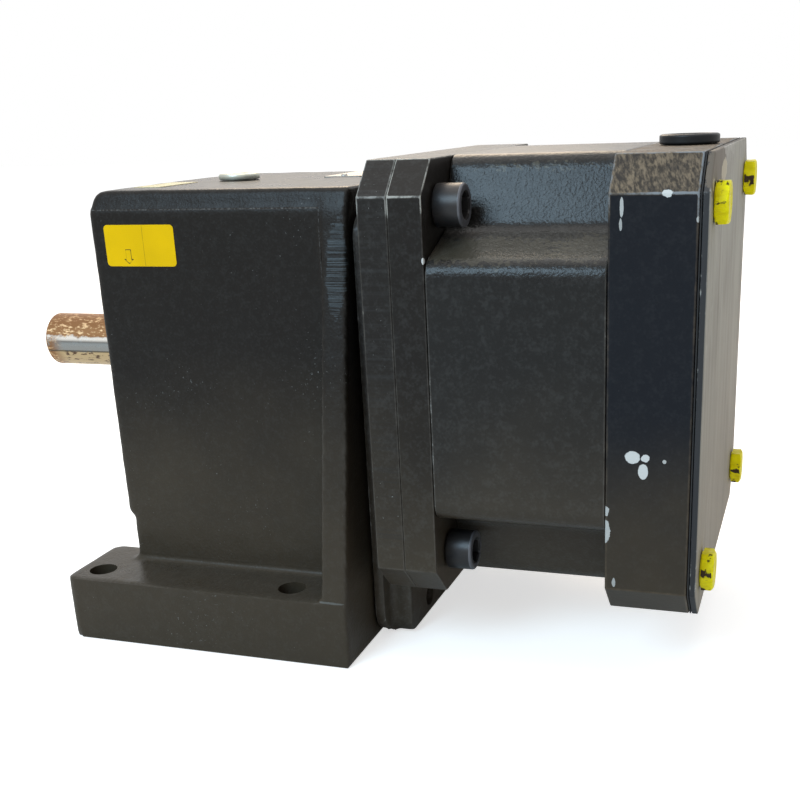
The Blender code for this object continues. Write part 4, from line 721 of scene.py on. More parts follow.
SOCKETS = {"number": "NodeSocketFloat", "vector": "NodeSocketVector", "colour": "NodeSocketColor"}


class Effect:
    """A shader node group under construction."""

    def __init__(self, name: str, inputs: dict[str, str], outputs: list[str]) -> None:
        """Start a group with named inputs of these kinds and number outputs of these names."""
        self.tree = bpy.data.node_groups.new(name, "ShaderNodeTree")
        for key, kind in inputs.items():
            self.tree.interface.new_socket(key, in_out="INPUT", socket_type=SOCKETS[kind])
        for key in outputs:
            self.tree.interface.new_socket(key, in_out="OUTPUT", socket_type=SOCKETS["number"])
        self.wiring = Wiring(self.tree)
        self.given = self.wiring.add("NodeGroupInput").outputs
        self.result = self.wiring.add("NodeGroupOutput").inputs


class Effects:
    """The effects that several finishes share, each built once."""

    def __init__(self) -> None:
        """Build them all."""
        self.peel = self.make_peel()
        self.worn_edges = self.make_worn_edges()
        self.level_lines = self.make_level_lines()
        self.dust = self.make_dust()
        self.chip = self.make_chip()
        self.rust = self.make_rust()

    @staticmethod
    def make_peel() -> bpy.types.NodeTree:
        """Orange peel of paint on a rough casting: two grains of noise, and specks of grit and painted
        glints where a third peaks.
        """
        effect = Effect("paint_peel", {"Place": "vector", "Pitch": "number"}, ["Height", "Specks"])
        w, given = effect.wiring, effect.given
        fine = w.noise(given["Place"], given["Pitch"], 1.0)
        broad = w.noise(given["Place"], w.times(given["Pitch"], 0.31), 2.0)
        w.feed(effect.result["Height"], w.plus(w.times(fine, 0.55), w.times(broad, 0.6)))
        grit_and_painted_glint = w.noise(given["Place"], w.times(given["Pitch"], 0.9), 3.0, 0.62)
        patch = w.noise(given["Place"], 34.0, 1.0)
        level = w.times_plus(patch, 0.22, w.minus(grit_and_painted_glint, 0.11))
        w.feed(effect.result["Specks"], w.ease(level, 0.7, 0.76))
        return effect.tree

    @staticmethod
    def make_worn_edges() -> bpy.types.NodeTree:
        """Paint rubbed off along edges: the edge value plus noise, through a soft step."""
        inputs = {"Edge": "number", "Place": "vector", "Grain": "number", "Amount": "number"}
        effect = Effect("worn_edges", inputs, ["Mask", "Trace"])
        w, given = effect.wiring, effect.given
        ragged = w.noise(given["Place"], given["Grain"], 4.0, 0.65)
        broad = w.noise(given["Place"], w.times(given["Grain"], 0.08), 2.0)
        both = w.plus(w.times(ragged, 0.6), w.times(broad, 0.7))
        level = w.times_plus(given["Edge"], given["Amount"], w.minus(both, 0.65))
        w.feed(effect.result["Mask"], w.times(w.ease(level, 0.42, 0.62), w.ease(given["Edge"], 0.3, 0.75)))
        w.feed(effect.result["Trace"], w.times(w.ease(level, 0.05, 0.6), given["Edge"]))
        return effect.tree

    @staticmethod
    def make_level_lines() -> bpy.types.NodeTree:
        """Fine level lines as a saw or a cutter leaves them: noise stretched far along the level."""
        effect = Effect("level_lines", {"Place": "vector", "Pitch": "number"}, ["Height", "Streaks"])
        w, given = effect.wiring, effect.given
        stretch = w.add("ShaderNodeCombineXYZ")
        w.feed(stretch.inputs["X"], 24.0)
        w.feed(stretch.inputs["Y"], 24.0)
        w.feed(stretch.inputs["Z"], given["Pitch"])
        fine = w.noise(w.stretched(given["Place"], stretch.outputs[0]), 1.0, 3.0, 0.6)
        broad = w.noise(w.stretched(given["Place"], (9.0, 9.0, 120.0)), 1.0, 2.0)
        w.feed(effect.result["Height"], fine)
        w.feed(effect.result["Streaks"], w.plus(w.times(fine, 0.5), w.times(broad, 0.5)))
        return effect.tree

    @staticmethod
    def make_dust() -> bpy.types.NodeTree:
        """Dust on faces that look up: the normal's z through a soft step, broken by fine noise."""
        inputs = {"Place": "vector", "Grain": "number", "From": "number"}
        effect = Effect("settled_dust", inputs, ["Mask", "Grain"])
        w, given = effect.wiring, effect.given
        up = w.split(w.add("ShaderNodeTexCoord").outputs["Normal"])["Z"]
        cloud = w.noise(given["Place"], given["Grain"], 5.0, 0.6)
        facing = w.ease(up, given["From"], w.plus(given["From"], 0.12))
        w.feed(effect.result["Mask"], w.times(facing, w.ease(cloud, 0.1, 0.6)))
        slanted = w.stretched(given["Place"], (1.0, 0.55, 0.55))
        skewed = w.add("ShaderNodeVectorRotate", rotation_type="Y_AXIS")
        w.feed(skewed.inputs["Vector"], slanted)
        w.feed(skewed.inputs["Angle"], 0.7)
        wrinkles = w.noise(w.stretched(skewed.outputs[0], (1.6, 1.0, 0.6)), 620.0, 4.0, 0.62)
        w.feed(effect.result["Grain"], w.ease(wrinkles, 0.38, 0.68))
        return effect.tree

    @staticmethod
    def make_chip() -> bpy.types.NodeTree:
        """One chip in the paint: an ellipsoid about a place, with its rim pushed in and out by noise."""
        inputs = {"Place": "vector", "Centre": "vector", "Size": "vector", "Ragged": "number"}
        effect = Effect("paint_chip", inputs, ["Mask"])
        w, given = effect.wiring, effect.given
        offset = w.vector("SUBTRACT", given["Place"], given["Centre"]).outputs[0]
        reach = w.vector("LENGTH", w.vector("DIVIDE", offset, given["Size"]).outputs[0]).outputs["Value"]
        rim = w.noise(given["Place"], 420.0, 3.0, 0.6)
        level = w.times_plus(w.minus(rim, 0.5), given["Ragged"], reach)
        w.feed(effect.result["Mask"], w.rest(w.ease(level, 0.9, 1.02)))
        return effect.tree

    @staticmethod
    def make_rust() -> bpy.types.NodeTree:
        """Rust on bare steel: broad stains with specks inside them."""
        inputs = {"Place": "vector", "Amount": "number"}
        effect = Effect("rust_bloom", inputs, ["Stain", "Specks", "Height"])
        w, given = effect.wiring, effect.given
        broad = w.noise(given["Place"], 46.0, 4.0, 0.6)
        grain = w.noise(given["Place"], 520.0, 4.0, 0.7)
        stain = w.ease(w.plus(w.times_plus(grain, 0.35, broad), given["Amount"]), 0.62, 0.95)
        w.feed(effect.result["Stain"], stain)
        level = w.times_plus(broad, 0.5, w.times_plus(given["Amount"], 0.5, grain))
        specks = w.ease(level, 0.83, 0.93)
        w.feed(effect.result["Specks"], specks)
        w.feed(effect.result["Height"], w.times_plus(stain, 0.35, w.times(specks, 0.65)))
        return effect.tree


EFFECTS = Effects()


# Finishes


@dataclass(frozen=True)
class Finish:
    """Base of the finishes: a name and the plain values of its shader."""

    name: str
    roughness: float = 0.5
    metallic: float = 0.0
    specular: float = 0.5
    coat: float = 0.0

    def started(self) -> tuple[Material, Wiring, bpy.types.Node]:
        """A new material, its wiring and its shader with the plain values set.

        Returns:
            The material, its wiring and its shader.
        """
        material = bpy.data.materials.new(self.name)
        material.use_nodes = True
        wiring = Wiring(material.node_tree)
        shader = material.node_tree.nodes["Principled BSDF"]
        shader.inputs["Roughness"].default_value = self.roughness
        shader.inputs["Metallic"].default_value = self.metallic
        shader.inputs["Specular IOR Level"].default_value = self.specular
        shader.inputs["Coat Weight"].default_value = self.coat
        return material, wiring, shader

    @staticmethod
    def bump(wiring: Wiring, shader: bpy.types.Node, height: Value, depth_mm: float) -> None:
        """Feed a height to the shader's normal.

        Args:
            wiring: The material's wiring.
            shader: The material's shader.
            height: Height from 0 to 1.
            depth_mm: Depth of the relief at a height of one.
        """
        node = wiring.add("ShaderNodeBump")
        node.inputs["Distance"].default_value = depth_mm * MM
        node.inputs["Strength"].default_value = 1.0
        wiring.feed(node.inputs["Height"], height)
        wiring.feed(shader.inputs["Normal"], node.outputs["Normal"])


@dataclass(frozen=True)
class Chip:
    """A chip in the paint, with its centre and half sizes in millimetres."""

    centre: Spot
    size: Spot
    ragged: float = 0.5
    colour: Colour = (0.58, 0.575, 0.55)
    share: float = 1.0
    depth: float = 0.08

    def laid_on(self, wiring: Wiring, place: Value, colour: Value, relief: Value) -> tuple[Value, Value]:
        """Blend the chip over a colour and sink it into a relief.

        Args:
            wiring: The material's wiring.
            place: The place on the piece.
            colour: The colour so far.
            relief: The relief so far.

        Returns:
            The new colour and the new relief.
        """
        centre = tuple(value * MM for value in self.centre)
        size = tuple(value * MM for value in self.size)
        mask = wiring.use(EFFECTS.chip, Place=place, Centre=centre, Size=size, Ragged=self.ragged)["Mask"]
        mask = wiring.times(mask, self.share)
        return wiring.blend(mask, colour, self.colour), wiring.times_plus(mask, -self.depth, relief)


@dataclass(frozen=True)
class Paint(Finish):
    """Black machine paint, worn and dirtied to suit the piece, with a painted warm reflection lower down
    and painted highlights on its peel.
    """

    upper: Colour = (0.009, 0.007, 0.0055)
    lower: Colour = (0.046, 0.035, 0.023)
    turn: tuple[float, float] = (40.0, 150.0)
    mottle: Colour = (0.022, 0.021, 0.019)
    mottle_share: float = 0.08
    bare: Colour = (0.30, 0.29, 0.27)
    grit_and_painted_glint: Colour = (0.25, 0.25, 0.24)
    soil: Colour = (0.16, 0.145, 0.125)
    soil_dark: Colour = (0.07, 0.062, 0.052)
    peel_pitch: float = 900.0
    peel_depth: float = 0.12
    line_pitch: float = 0.0
    line_depth: float = 0.0
    line_colour: Colour = (0.07, 0.065, 0.06)
    wear: float = 0.8
    wear_below: float = 0.0
    wear_grain: float = 260.0
    specks: float = 0.5
    painted_crest_highlight: float = 0.05
    top_roughness: float = 0.25
    dust: float = 0.3
    dust_grain: float = 45.0
    dust_from: float = 0.8
    chips: tuple[Chip, ...] = ()
    pad: tuple[float, float] | None = None
    hatch: Chip | None = None

    def base_coat(self, w: Wiring, place: Socket, height: Socket) -> Socket:
        """Paint that turns browner and paler downwards, a painted warm reflection from below, with paler
        clouds in it.

        Args:
            w: The material's wiring.
            place: The place on the piece.
            height: The height, pushed about by noise.

        Returns:
            The colour.
        """
        # Painted reflection: the lower colour stands for warm light reflected from below, blended in by
        # height.
        rise = w.ease(height, self.turn[0] * MM, self.turn[1] * MM)
        mottle = w.times(w.ease(w.noise(place, 60.0, 4.0, 0.6), 0.4, 0.75), self.mottle_share)
        return w.blend(mottle, w.blend(rise, self.lower, self.upper), self.mottle)

    def with_pad(self, w: Wiring, place: Socket, colour: Value, relief: Value) -> tuple[Value, Value]:
        """Raise the wall in front of and below two lines, with a lighter rim that is broken in places.

        Args:
            w: The material's wiring.
            place: The place on the piece.
            colour: The colour so far.
            relief: The relief so far.

        Returns:
            The new colour and the new relief.
        """
        x, _, z = w.split(place)
        soft, foot_top, raised = 0.45, (33 * MM, 36 * MM), 0.4
        lines = zip((x, z), self.pad)
        inside = w.times(*[w.ease(value, (edge + soft) * MM, (edge - soft) * MM) for value, edge in lines])
        shown = w.times(inside, w.ease(z, *foot_top))
        rim = w.times(w.times(shown, w.rest(inside)), 3.0)
        broken = w.times(w.ease(w.noise(place, 800.0, 4.0, 0.6), 0.42, 0.66), 0.5)
        return w.blend(w.times(rim, broken), colour, self.grit_and_painted_glint), w.times_plus(shown, raised, relief)

    def with_hatch(self, w: Wiring, place: Socket, colour: Value) -> Socket:
        """Scrape fine level lines into the colour inside an ellipsoid.

        Args:
            w: The material's wiring.
            place: The place on the piece.
            colour: The colour so far.

        Returns:
            The new colour.
        """
        scraped = self.hatch.laid_on(w, place, (0.0, 0.0, 0.0), 0.0)[1]
        lines = w.use(EFFECTS.level_lines, Place=place, Pitch=2400.0)["Height"]
        share = w.times(w.times(scraped, -1 / self.hatch.depth), w.ease(lines, 0.46, 0.6))
        return w.blend(share, colour, self.hatch.colour)

    def with_wear(self, w: Wiring, place: Socket, colour: Value) -> Socket:
        """Rub the paint off along the edges, more above the turn than below it.

        Args:
            w: The material's wiring.
            place: The place on the piece.
            colour: The colour so far.

        Returns:
            The new colour.
        """
        amount = self.wear
        if self.wear_below:
            high = w.ease(w.split(place)["Z"], WEAR_TURN - 8 * MM, WEAR_TURN)
            amount = w.times_plus(high, self.wear - self.wear_below, self.wear_below)
        edge = w.attribute("edge")
        worn = w.use(EFFECTS.worn_edges, Edge=edge, Place=place, Grain=self.wear_grain, Amount=amount)
        traced = w.blend(w.times(worn["Trace"], 0.35), colour, self.soil)
        return w.blend(worn["Mask"], traced, self.bare)

    def dressed(self) -> Material:
        """Build the material: paint, then lines, dust, painted highlights on the peel's crests, specks of
        grit with painted glints, wear and chips.

        Returns:
            The material.
        """
        material, w, shader = self.started()
        place = w.place()
        cloud = w.noise(place, 14.0, 3.0)
        unsettled = w.minus(cloud, 0.5)
        colour = self.base_coat(w, place, w.times_plus(unsettled, 0.08, w.split(place)["Z"]))
        peel = w.use(EFFECTS.peel, Place=place, Pitch=self.peel_pitch)
        relief = w.times(peel["Height"], self.peel_depth)
        up = w.ease(w.split(w.add("ShaderNodeTexCoord").outputs["Normal"])["Z"], 0.8, 0.98)
        level = w.times_plus(up, self.top_roughness - self.roughness, self.roughness)
        shine = w.times_plus(unsettled, 0.16, level)
        if self.line_depth:
            lines = w.use(EFFECTS.level_lines, Place=place, Pitch=self.line_pitch)
            relief = w.times_plus(lines["Height"], self.line_depth, relief)
            colour = w.blend(w.times(w.ease(lines["Streaks"], 0.48, 0.72), 0.75), colour, self.line_colour)
        if self.pad:
            colour, relief = self.with_pad(w, place, colour, relief)
        if self.hatch:
            colour = self.with_hatch(w, place, colour)
        settled_dust = w.use(EFFECTS.dust, Place=place, Grain=self.dust_grain, From=self.dust_from)
        dust = w.times(settled_dust["Mask"], self.dust)
        colour = w.blend(dust, colour, w.blend(settled_dust["Grain"], self.soil_dark, self.soil))
        # Painted highlight: the peel's crests are lightened, standing in for light on the relief.
        painted_crest_highlight = w.times(w.ease(peel["Height"], 0.5, 0.82), self.painted_crest_highlight)
        # Painted glints: the peel's specks are pale flecks of grit and of light on the paint.
        specks = w.times(peel["Specks"], self.specks)
        colour = w.blend(specks, w.blend(painted_crest_highlight, colour, self.grit_and_painted_glint), self.grit_and_painted_glint)
        colour = self.with_wear(w, place, colour)
        for chip in self.chips:
            colour, relief = chip.laid_on(w, place, colour, relief)
        w.feed(shader.inputs["Base Color"], colour)
        w.feed(shader.inputs["Roughness"], w.times_plus(dust, 0.3, shine))
        self.bump(w, shader, relief, 1.0)
        return material


@dataclass(frozen=True)
class BareSteel(Finish):
    """Ground or turned steel with fine lines round its axis and rust where it was left bare."""

    metallic: float = 1.0
    colour: Colour = (0.52, 0.51, 0.49)
    rust: float = 0.0
    rust_colour: Colour = (0.33, 0.13, 0.045)
    speck_colour: Colour = (0.10, 0.04, 0.02)
    line_pitch: float = 2600.0
    line_depth: float = 0.01

    def dressed(self) -> Material:
        """Build the material."""
        material, w, shader = self.started()
        place = w.place()
        lines = w.noise(w.stretched(place, (self.line_pitch, 30.0, 30.0)), 1.0, 2.0)
        tone = w.ease(w.noise(place, 90.0, 3.0), 0.3, 0.8)
        colour = w.blend(w.times(tone, 0.4), self.colour, tuple(value * 0.7 for value in self.colour))
        shine = w.times_plus(lines, 0.12, self.roughness)
        relief = w.times(lines, self.line_depth)
        if self.rust:
            rust = w.use(EFFECTS.rust, Place=place, Amount=self.rust)
            colour = w.blend(w.times(rust["Stain"], 0.75), colour, self.rust_colour)
            colour = w.blend(rust["Specks"], colour, self.speck_colour)
            shine = w.times_plus(rust["Height"], 0.5, shine)
            relief = w.times_plus(rust["Height"], 0.06, relief)
            w.feed(shader.inputs["Metallic"], w.rest(w.times(rust["Height"], 0.9)))
        w.feed(shader.inputs["Base Color"], colour)
        w.feed(shader.inputs["Roughness"], shine)
        self.bump(w, shader, relief, 1.0)
        return material


@dataclass(frozen=True)
class HandledShaft(Finish):
    """Ground shaft end that lay about: rust above with pale flecks that are partly painted sparkle, a clean
    band at the middle with a painted reflection, a painted highlight and a painted dark line, stain and
    pits below.
    """

    metallic: float = 1.0
    rust: Colour = (0.25, 0.115, 0.042)
    pale_rust_and_painted_sparkle: Colour = (0.75, 0.50, 0.27)
    clean_painted_reflection: Colour = (0.27, 0.27, 0.26)
    painted_highlight: Colour = (0.80, 0.79, 0.74)
    stain: Colour = (0.50, 0.385, 0.225)
    pit: Colour = (0.10, 0.055, 0.03)
    radius: float = 14.0
    end: float = -124.5

    def dressed(self) -> Material:
        """Build the material: zones by the height over the axis, with rims pushed about by noise."""
        material, w, shader = self.started()
        place = w.place()
        x, y, z = w.split(place)
        rows = w.noise(w.stretched(place, (0.35, 1.0, 1.0)), 500.0, 4.0, 0.65)
        ragged = w.noise(place, 210.0, 4.0, 0.62)
        height = w.math("DIVIDE", w.minus(z, SHAFT_HEIGHT * MM), self.radius * MM)
        pushed = w.times_plus(w.minus(ragged, 0.5), 0.35, height)
        near_end = w.rest(w.ease(x, (self.end + 2) * MM, (self.end + 12) * MM))
        above = w.larger(w.ease(pushed, 0.22, 0.32), w.times(near_end, w.ease(ragged, 0.35, 0.5)))
        below = w.rest(w.ease(pushed, -0.34, -0.28))
        # Painted reflection: the clean band is a grey gradient that turns into a painted highlight higher
        # up.
        colour = w.blend(w.ease(height, 0.05, 0.2), self.clean_painted_reflection, self.painted_highlight)
        colour = w.blend(below, colour, self.stain)
        pits = w.times(w.ease(rows, 0.53, 0.58), w.ease(ragged, 0.4, 0.5))
        colour = w.blend(w.times(pits, below), colour, self.pit)
        # Pale rust flecks in rows, partly a painted sparkle of light.
        sparks = w.noise(w.stretched(place, (0.4, 1.0, 1.0)), 1000.0, 3.0, 0.6)
        spread = w.times(w.plus(rows, sparks), 0.5)
        colour = w.blend(above, colour, w.blend(w.ease(spread, 0.5, 0.62), self.rust, self.pale_rust_and_painted_sparkle))
        # Painted reflection: a thin dark line under the clean band.
        line = w.rest(w.ease(w.math("ABSOLUTE", w.plus(height, 0.3)), 0.015, 0.05))
        colour = w.blend(w.times(line, 0.75), colour, (0.05, 0.045, 0.035))
        rough = w.larger(above, w.times(below, 0.7))
        w.feed(shader.inputs["Base Color"], colour)
        w.feed(shader.inputs["Metallic"], w.times_plus(w.larger(above, pits), -0.35, 1.0))
        w.feed(shader.inputs["Roughness"], w.times_plus(rough, 0.28, self.roughness))
        self.bump(w, shader, w.times(rows, rough), 0.12)
        return material


@dataclass(frozen=True)
class Plain(Finish):
    """A moulded, cut or coated surface with two tones and a fine grain."""

    colour: Colour = (0.5, 0.5, 0.5)
    second: Colour = (0.4, 0.4, 0.4)
    patch: float = 60.0
    grain: float = 800.0
    grain_depth: float = 0.03
    edge_colour: Colour | None = None

    def dressed(self) -> Material:
        """Build the material."""
        material, w, shader = self.started()
        place = w.place()
        grain = w.noise(place, self.grain, 3.0, 0.6)
        colour = w.blend(w.ease(w.noise(place, self.patch, 4.0, 0.6), 0.3, 0.75), self.colour, self.second)
        if self.edge_colour:
            worn = w.use(EFFECTS.worn_edges, Edge=w.attribute("edge"), Place=place, Grain=500.0, Amount=0.9)
            colour = w.blend(worn["Mask"], colour, self.edge_colour)
        w.feed(shader.inputs["Base Color"], colour)
        w.feed(shader.inputs["Roughness"], w.times_plus(grain, 0.15, self.roughness - 0.05))
        self.bump(w, shader, grain, self.grain_depth)
        return material


@dataclass(frozen=True)
class BoltPaint(Finish):
    """Thick marking paint brushed over a bolt head, rubbed through to rusty steel in places."""

    specular: float = 0.15
    colour: Colour = (0.95, 0.84, 0.0)
    thin: Colour = (0.80, 0.68, 0.0)
    bare: Colour = (0.055, 0.035, 0.018)

    def dressed(self) -> Material:
        """Build the material: two tones of paint, and bare patches where noise and edges meet."""
        material, w, shader = self.started()
        place = w.place()
        brush = w.noise(w.stretched(place, (1.0, 1.0, 3.0)), 170.0, 4.0, 0.6)
        colour = w.blend(w.ease(brush, 0.4, 0.7), self.colour, self.thin)
        patch = w.noise(place, 130.0, 4.0, 0.62)
        rubbed = w.ease(w.times_plus(w.attribute("edge"), 0.13, patch), 0.62, 0.67)
        colour = w.blend(rubbed, colour, self.bare)
        w.feed(shader.inputs["Base Color"], colour)
        w.feed(shader.inputs["Roughness"], w.times_plus(rubbed, 0.3, self.roughness))
        self.bump(w, shader, w.minus(brush, w.times(rubbed, 0.5)), 0.5)
        return material


@dataclass(frozen=True)
class RawSheet(Finish):
    """Unpainted cover sheet: dull grey metal with streaks down it, and chips of paint at its edges."""

    upper: Colour = (0.335, 0.32, 0.275)
    lower: Colour = (0.27, 0.24, 0.195)
    streak: Colour = (0.19, 0.172, 0.145)
    rim: Colour = (0.008, 0.009, 0.011)
    face_x: float = 240.0
    smears: tuple[Chip, ...] = ()

    def dressed(self) -> Material:
        """Build the material: streaked metal on the rear face, black paint on the rim, smears over both."""
        material, w, shader = self.started()
        place = w.place()
        x, y, z = w.split(place)
        streaks = w.noise(w.stretched(place, (10.0, 160.0, 7.0)), 1.0, 4.0, 0.6)
        cloud = w.noise(place, 22.0, 5.0, 0.6)
        share = w.times_plus(cloud, 0.5, w.times(streaks, 0.5))
        colour = w.blend(w.ease(z, 0.07, 0.19), self.lower, self.upper)
        colour = w.blend(w.times(w.ease(share, 0.4, 0.68), 0.75), colour, self.streak)
        worn = w.use(EFFECTS.worn_edges, Edge=w.attribute("edge"), Place=place, Grain=300.0, Amount=0.4)
        at_rim = w.rest(w.ease(x, (self.face_x - 0.5) * MM, (self.face_x - 0.15) * MM))
        colour = w.blend(at_rim, colour, self.rim)
        colour = w.blend(w.times(worn["Mask"], 0.8), colour, (0.5, 0.48, 0.44))
        relief = w.times(w.noise(place, 900.0, 3.0), 0.03)
        for smear in self.smears:
            colour, relief = smear.laid_on(w, place, colour, relief)
        w.feed(shader.inputs["Base Color"], colour)
        w.feed(shader.inputs["Metallic"], w.times_plus(at_rim, -0.35, 0.35))
        w.feed(shader.inputs["Roughness"], w.times_plus(streaks, 0.2, self.roughness))
        self.bump(w, shader, relief, 1.0)
        return material


@dataclass(frozen=True)
class PrintedFilm(Finish):
    """Self-adhesive film with a plain printed mark where the mesh says so."""

    specular: float = 0.12
    colour: Colour = (0.78, 0.47, 0.0)
    ink: Colour = (0.03, 0.026, 0.01)

    def dressed(self) -> Material:
        """Build the material: film colour, and ink where the mark's distance is below zero."""
        material, w, shader = self.started()
        place = w.place()
        shade = tuple(value * 0.86 for value in self.colour)
        soft = w.blend(w.ease(w.noise(place, 40.0, 3.0), 0.3, 0.8), self.colour, shade)
        inside = w.ease(w.attribute("mark"), 0.06, -0.06)
        w.feed(shader.inputs["Base Color"], w.blend(inside, soft, self.ink))
        self.bump(w, shader, w.noise(place, 260.0, 2.0), 0.04)
        return material


# Sub-assemblies


def fitted(obj: Object, body: str, slot: str, material: Material, *nodes: str) -> Object:
    """Give a piece its finish, let it ride on its body and let it stand for the nodes it replaces.

    Args:
        obj: The object.
        body: The body that it rides on.
        slot: Not used.
        material: Its material.
        nodes: The nodes that it replaces.

    Returns:
        The object.
    """
    obj.data.materials.clear()
    obj.data.materials.append(material)
    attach(obj, body)
    if nodes:
        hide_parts(*nodes)
    log.info("%s: %d faces on %s", obj.name, len(obj.data.polygons), body)
    return obj


def slab(
    corners: list[Corner], start: float, end: float, edge: float, axis: Axis = Axis.X, flare: float = 0.0
) -> Shell:
    """A solid plate with softened edges, and with a foot that flares out where it leaves another body.

    Formula: the outline lies e (1 - sin t) inside and e (1 - cos t) behind a face, for t from 0 to a
    quarter turn. The foot's outline lies f (1 - sin t) outside and f (1 - cos t) above its start.

    Args:
        corners: The outline's corners with radii.
        start: Station of the first face.
        end: Station of the last face.
        edge: Radius of the edges.
        axis: The plate's axis.
        flare: Radius of the flare at the start, instead of an edge.

    Returns:
        The closed shell.
    """
    outline = np.array(corners, float)
    t = np.linspace(0, math.pi / 2, 6)
    first = -flare if flare else edge
    depth = np.concatenate([first * (1 - np.sin(t)), [0, 0], edge * (1 - np.sin(t))[::-1]])
    foot, guard = flare or edge, edge * 1.8
    rise = foot * (1 - np.cos(t))
    fall = edge * (1 - np.cos(t))[::-1]
    station = np.concatenate([start + rise, [start + foot + edge, end - guard], end - fall])
    on_edge = np.concatenate([np.zeros(6) if flare else np.ones(6), [0, 0], np.ones(6)])
    grid = np.array([laid(rounded_outline(inset(outline, d)), s, axis) for d, s in zip(depth, station)])
    return Shell.from_grid(grid, wear=np.maximum(on_edge[:, None], outline_wear(outline)))


def film(
    along: tuple[float, float],
    across: tuple[float, float],
    radius: float,
    outer: float,
    inner: float,
    lies: Axis,
    cell: float = 0.5,
) -> Shell:
    """A thin sheet with round corners, flat on a wall or a top.

    Formula: at each station along X the sheet spans the width between its sides, less the corner
    radius minus the root of its square minus the square of the distance into the corner.

    Args:
        along: Where the sheet starts and ends along X.
        across: Where its sides are.
        radius: Radius of its corners.
        outer: Place of its outer face.
        inner: Place of its inner face.
        lies: The axis across its thickness.
        cell: Distance between its points.

    Returns:
        The closed shell.
    """
    count_along = int((along[1] - along[0]) / cell)
    count_across = int((across[1] - across[0]) / cell)
    x = along[0] + (along[1] - along[0]) * (1 - np.cos(np.linspace(0, math.pi, count_along))) / 2
    into = np.maximum(radius - np.minimum(x - along[0], along[1] - x), 0)
    cut = radius - np.sqrt(np.maximum(radius**2 - into**2, 0)) - 0.02
    share = np.linspace(0, 1, count_across)
    low, high = across[0] + cut, across[1] - cut
    side = low[:, None] + (high - low)[:, None] * share
    spans = np.concatenate([side, side[:, ::-1]], axis=1)
    depth = np.where(np.arange(2 * count_across) < count_across, outer, inner)
    depth = np.broadcast_to(depth, spans.shape)
    pairs = np.stack([spans, depth] if lies is Axis.Z else [depth, spans], axis=-1)
    return Shell.from_grid(laid(pairs, x[:, None], Axis.X))


def faceted_bar(
    rows: list[tuple[float, float, bool]],
    middle: tuple[float, float] = (0.0, 0.0),
    around: int = 96,
    axis: Axis = Axis.X,
    cone: tuple[float, float] | None = None,
) -> Shell:
    """A piece with round and hexagonal stations, such as a socket screw or a bolt.

    Formula: at angle a a round station has its own radius, and a hexagonal one half its width over
    cos of the angle from the flat. A cone may cut the corners off: no point is further out than the
    cone's radius plus the distance below its end times the tangent of 60 degrees.

    Args:
        rows: Station, radius or half width, and whether the station is hexagonal.
        middle: Where the axis passes.
        around: Points around the axis.
        axis: The axis.
        cone: Station and radius of the cone's end.

    Returns:
        The closed shell.
    """
    table = np.array(rows, float)
    station, half, hexagonal = table[:, :1], table[:, 1:2], table[:, 2:3] > 0
    angle = np.arange(around)[None] * TURN / around
    reach = np.where(hexagonal, hexagon_reach(angle, 1.0) * 2 * half, half)
    if cone:
        reach = np.minimum(reach, cone[1] + np.maximum(cone[0] - station, 0) * math.tan(math.pi / 3))
    grid = np.stack([reach * np.cos(angle), reach * np.sin(angle)], axis=-1) + np.array(middle)
    corner = np.clip((reach - half) / half * 8, 0, 1)
    return Shell.from_grid(laid(grid, station, axis), wear=corner)


@dataclass
class SocketScrew:
    """Cap screw with a hexagon socket, standing on a seat."""

    thread: float
    head: float
    height: float
    flats: float
    length: float
    socket_depth: float
    rim: float = 0.8

    def shell(self, seat: float, axis: Axis = Axis.X) -> Shell:
        """The screw's surface about an axis through zero, with its head on the seat.

        Args:
            seat: Where the head stands.
            axis: The axis.

        Returns:
            The closed shell, with wear on its rim.
        """
        top = seat + self.height
        head, mouth = self.head / 2, self.flats / 2 / math.cos(math.pi / 6)
        rows = [
            (seat - self.length, 0.2, False),
            (seat - self.length, self.thread / 2 - 0.5, False),
            (seat - self.length + 0.8, self.thread / 2, False),
            (seat - 0.05, self.thread / 2, False),
            (seat, head - 0.6, False),
            (seat + 0.15, head - 0.15, False),
            (seat + 0.5, head, False),
            (top - self.rim * 1.6, head, False),
            (top - self.rim, head, False),
            (top - self.rim * 0.65, head - self.rim * 0.12, False),
            (top - self.rim * 0.3, head - self.rim * 0.4, False),
            (top - self.rim * 0.08, head - self.rim * 0.75, False),
            (top, head - self.rim * 1.15, False),
            (top, mouth + 0.45, False),
            (top - 0.1, mouth + 0.15, False),
            (top - 0.55, self.flats / 2, True),
            (top - 0.9, self.flats / 2, True),
            (top - self.socket_depth, self.flats / 2, True),
            (top - self.socket_depth - 0.1, self.flats / 2 - 0.4, True),
            (top - self.socket_depth - 1.4, 0.2, False),
        ]
        shell = faceted_bar(rows, axis=axis)
        rim = np.zeros((len(rows), 96))
        rim[8:14] = 1
        shell.wear[: rim.size] = rim.reshape(-1)
        return shell


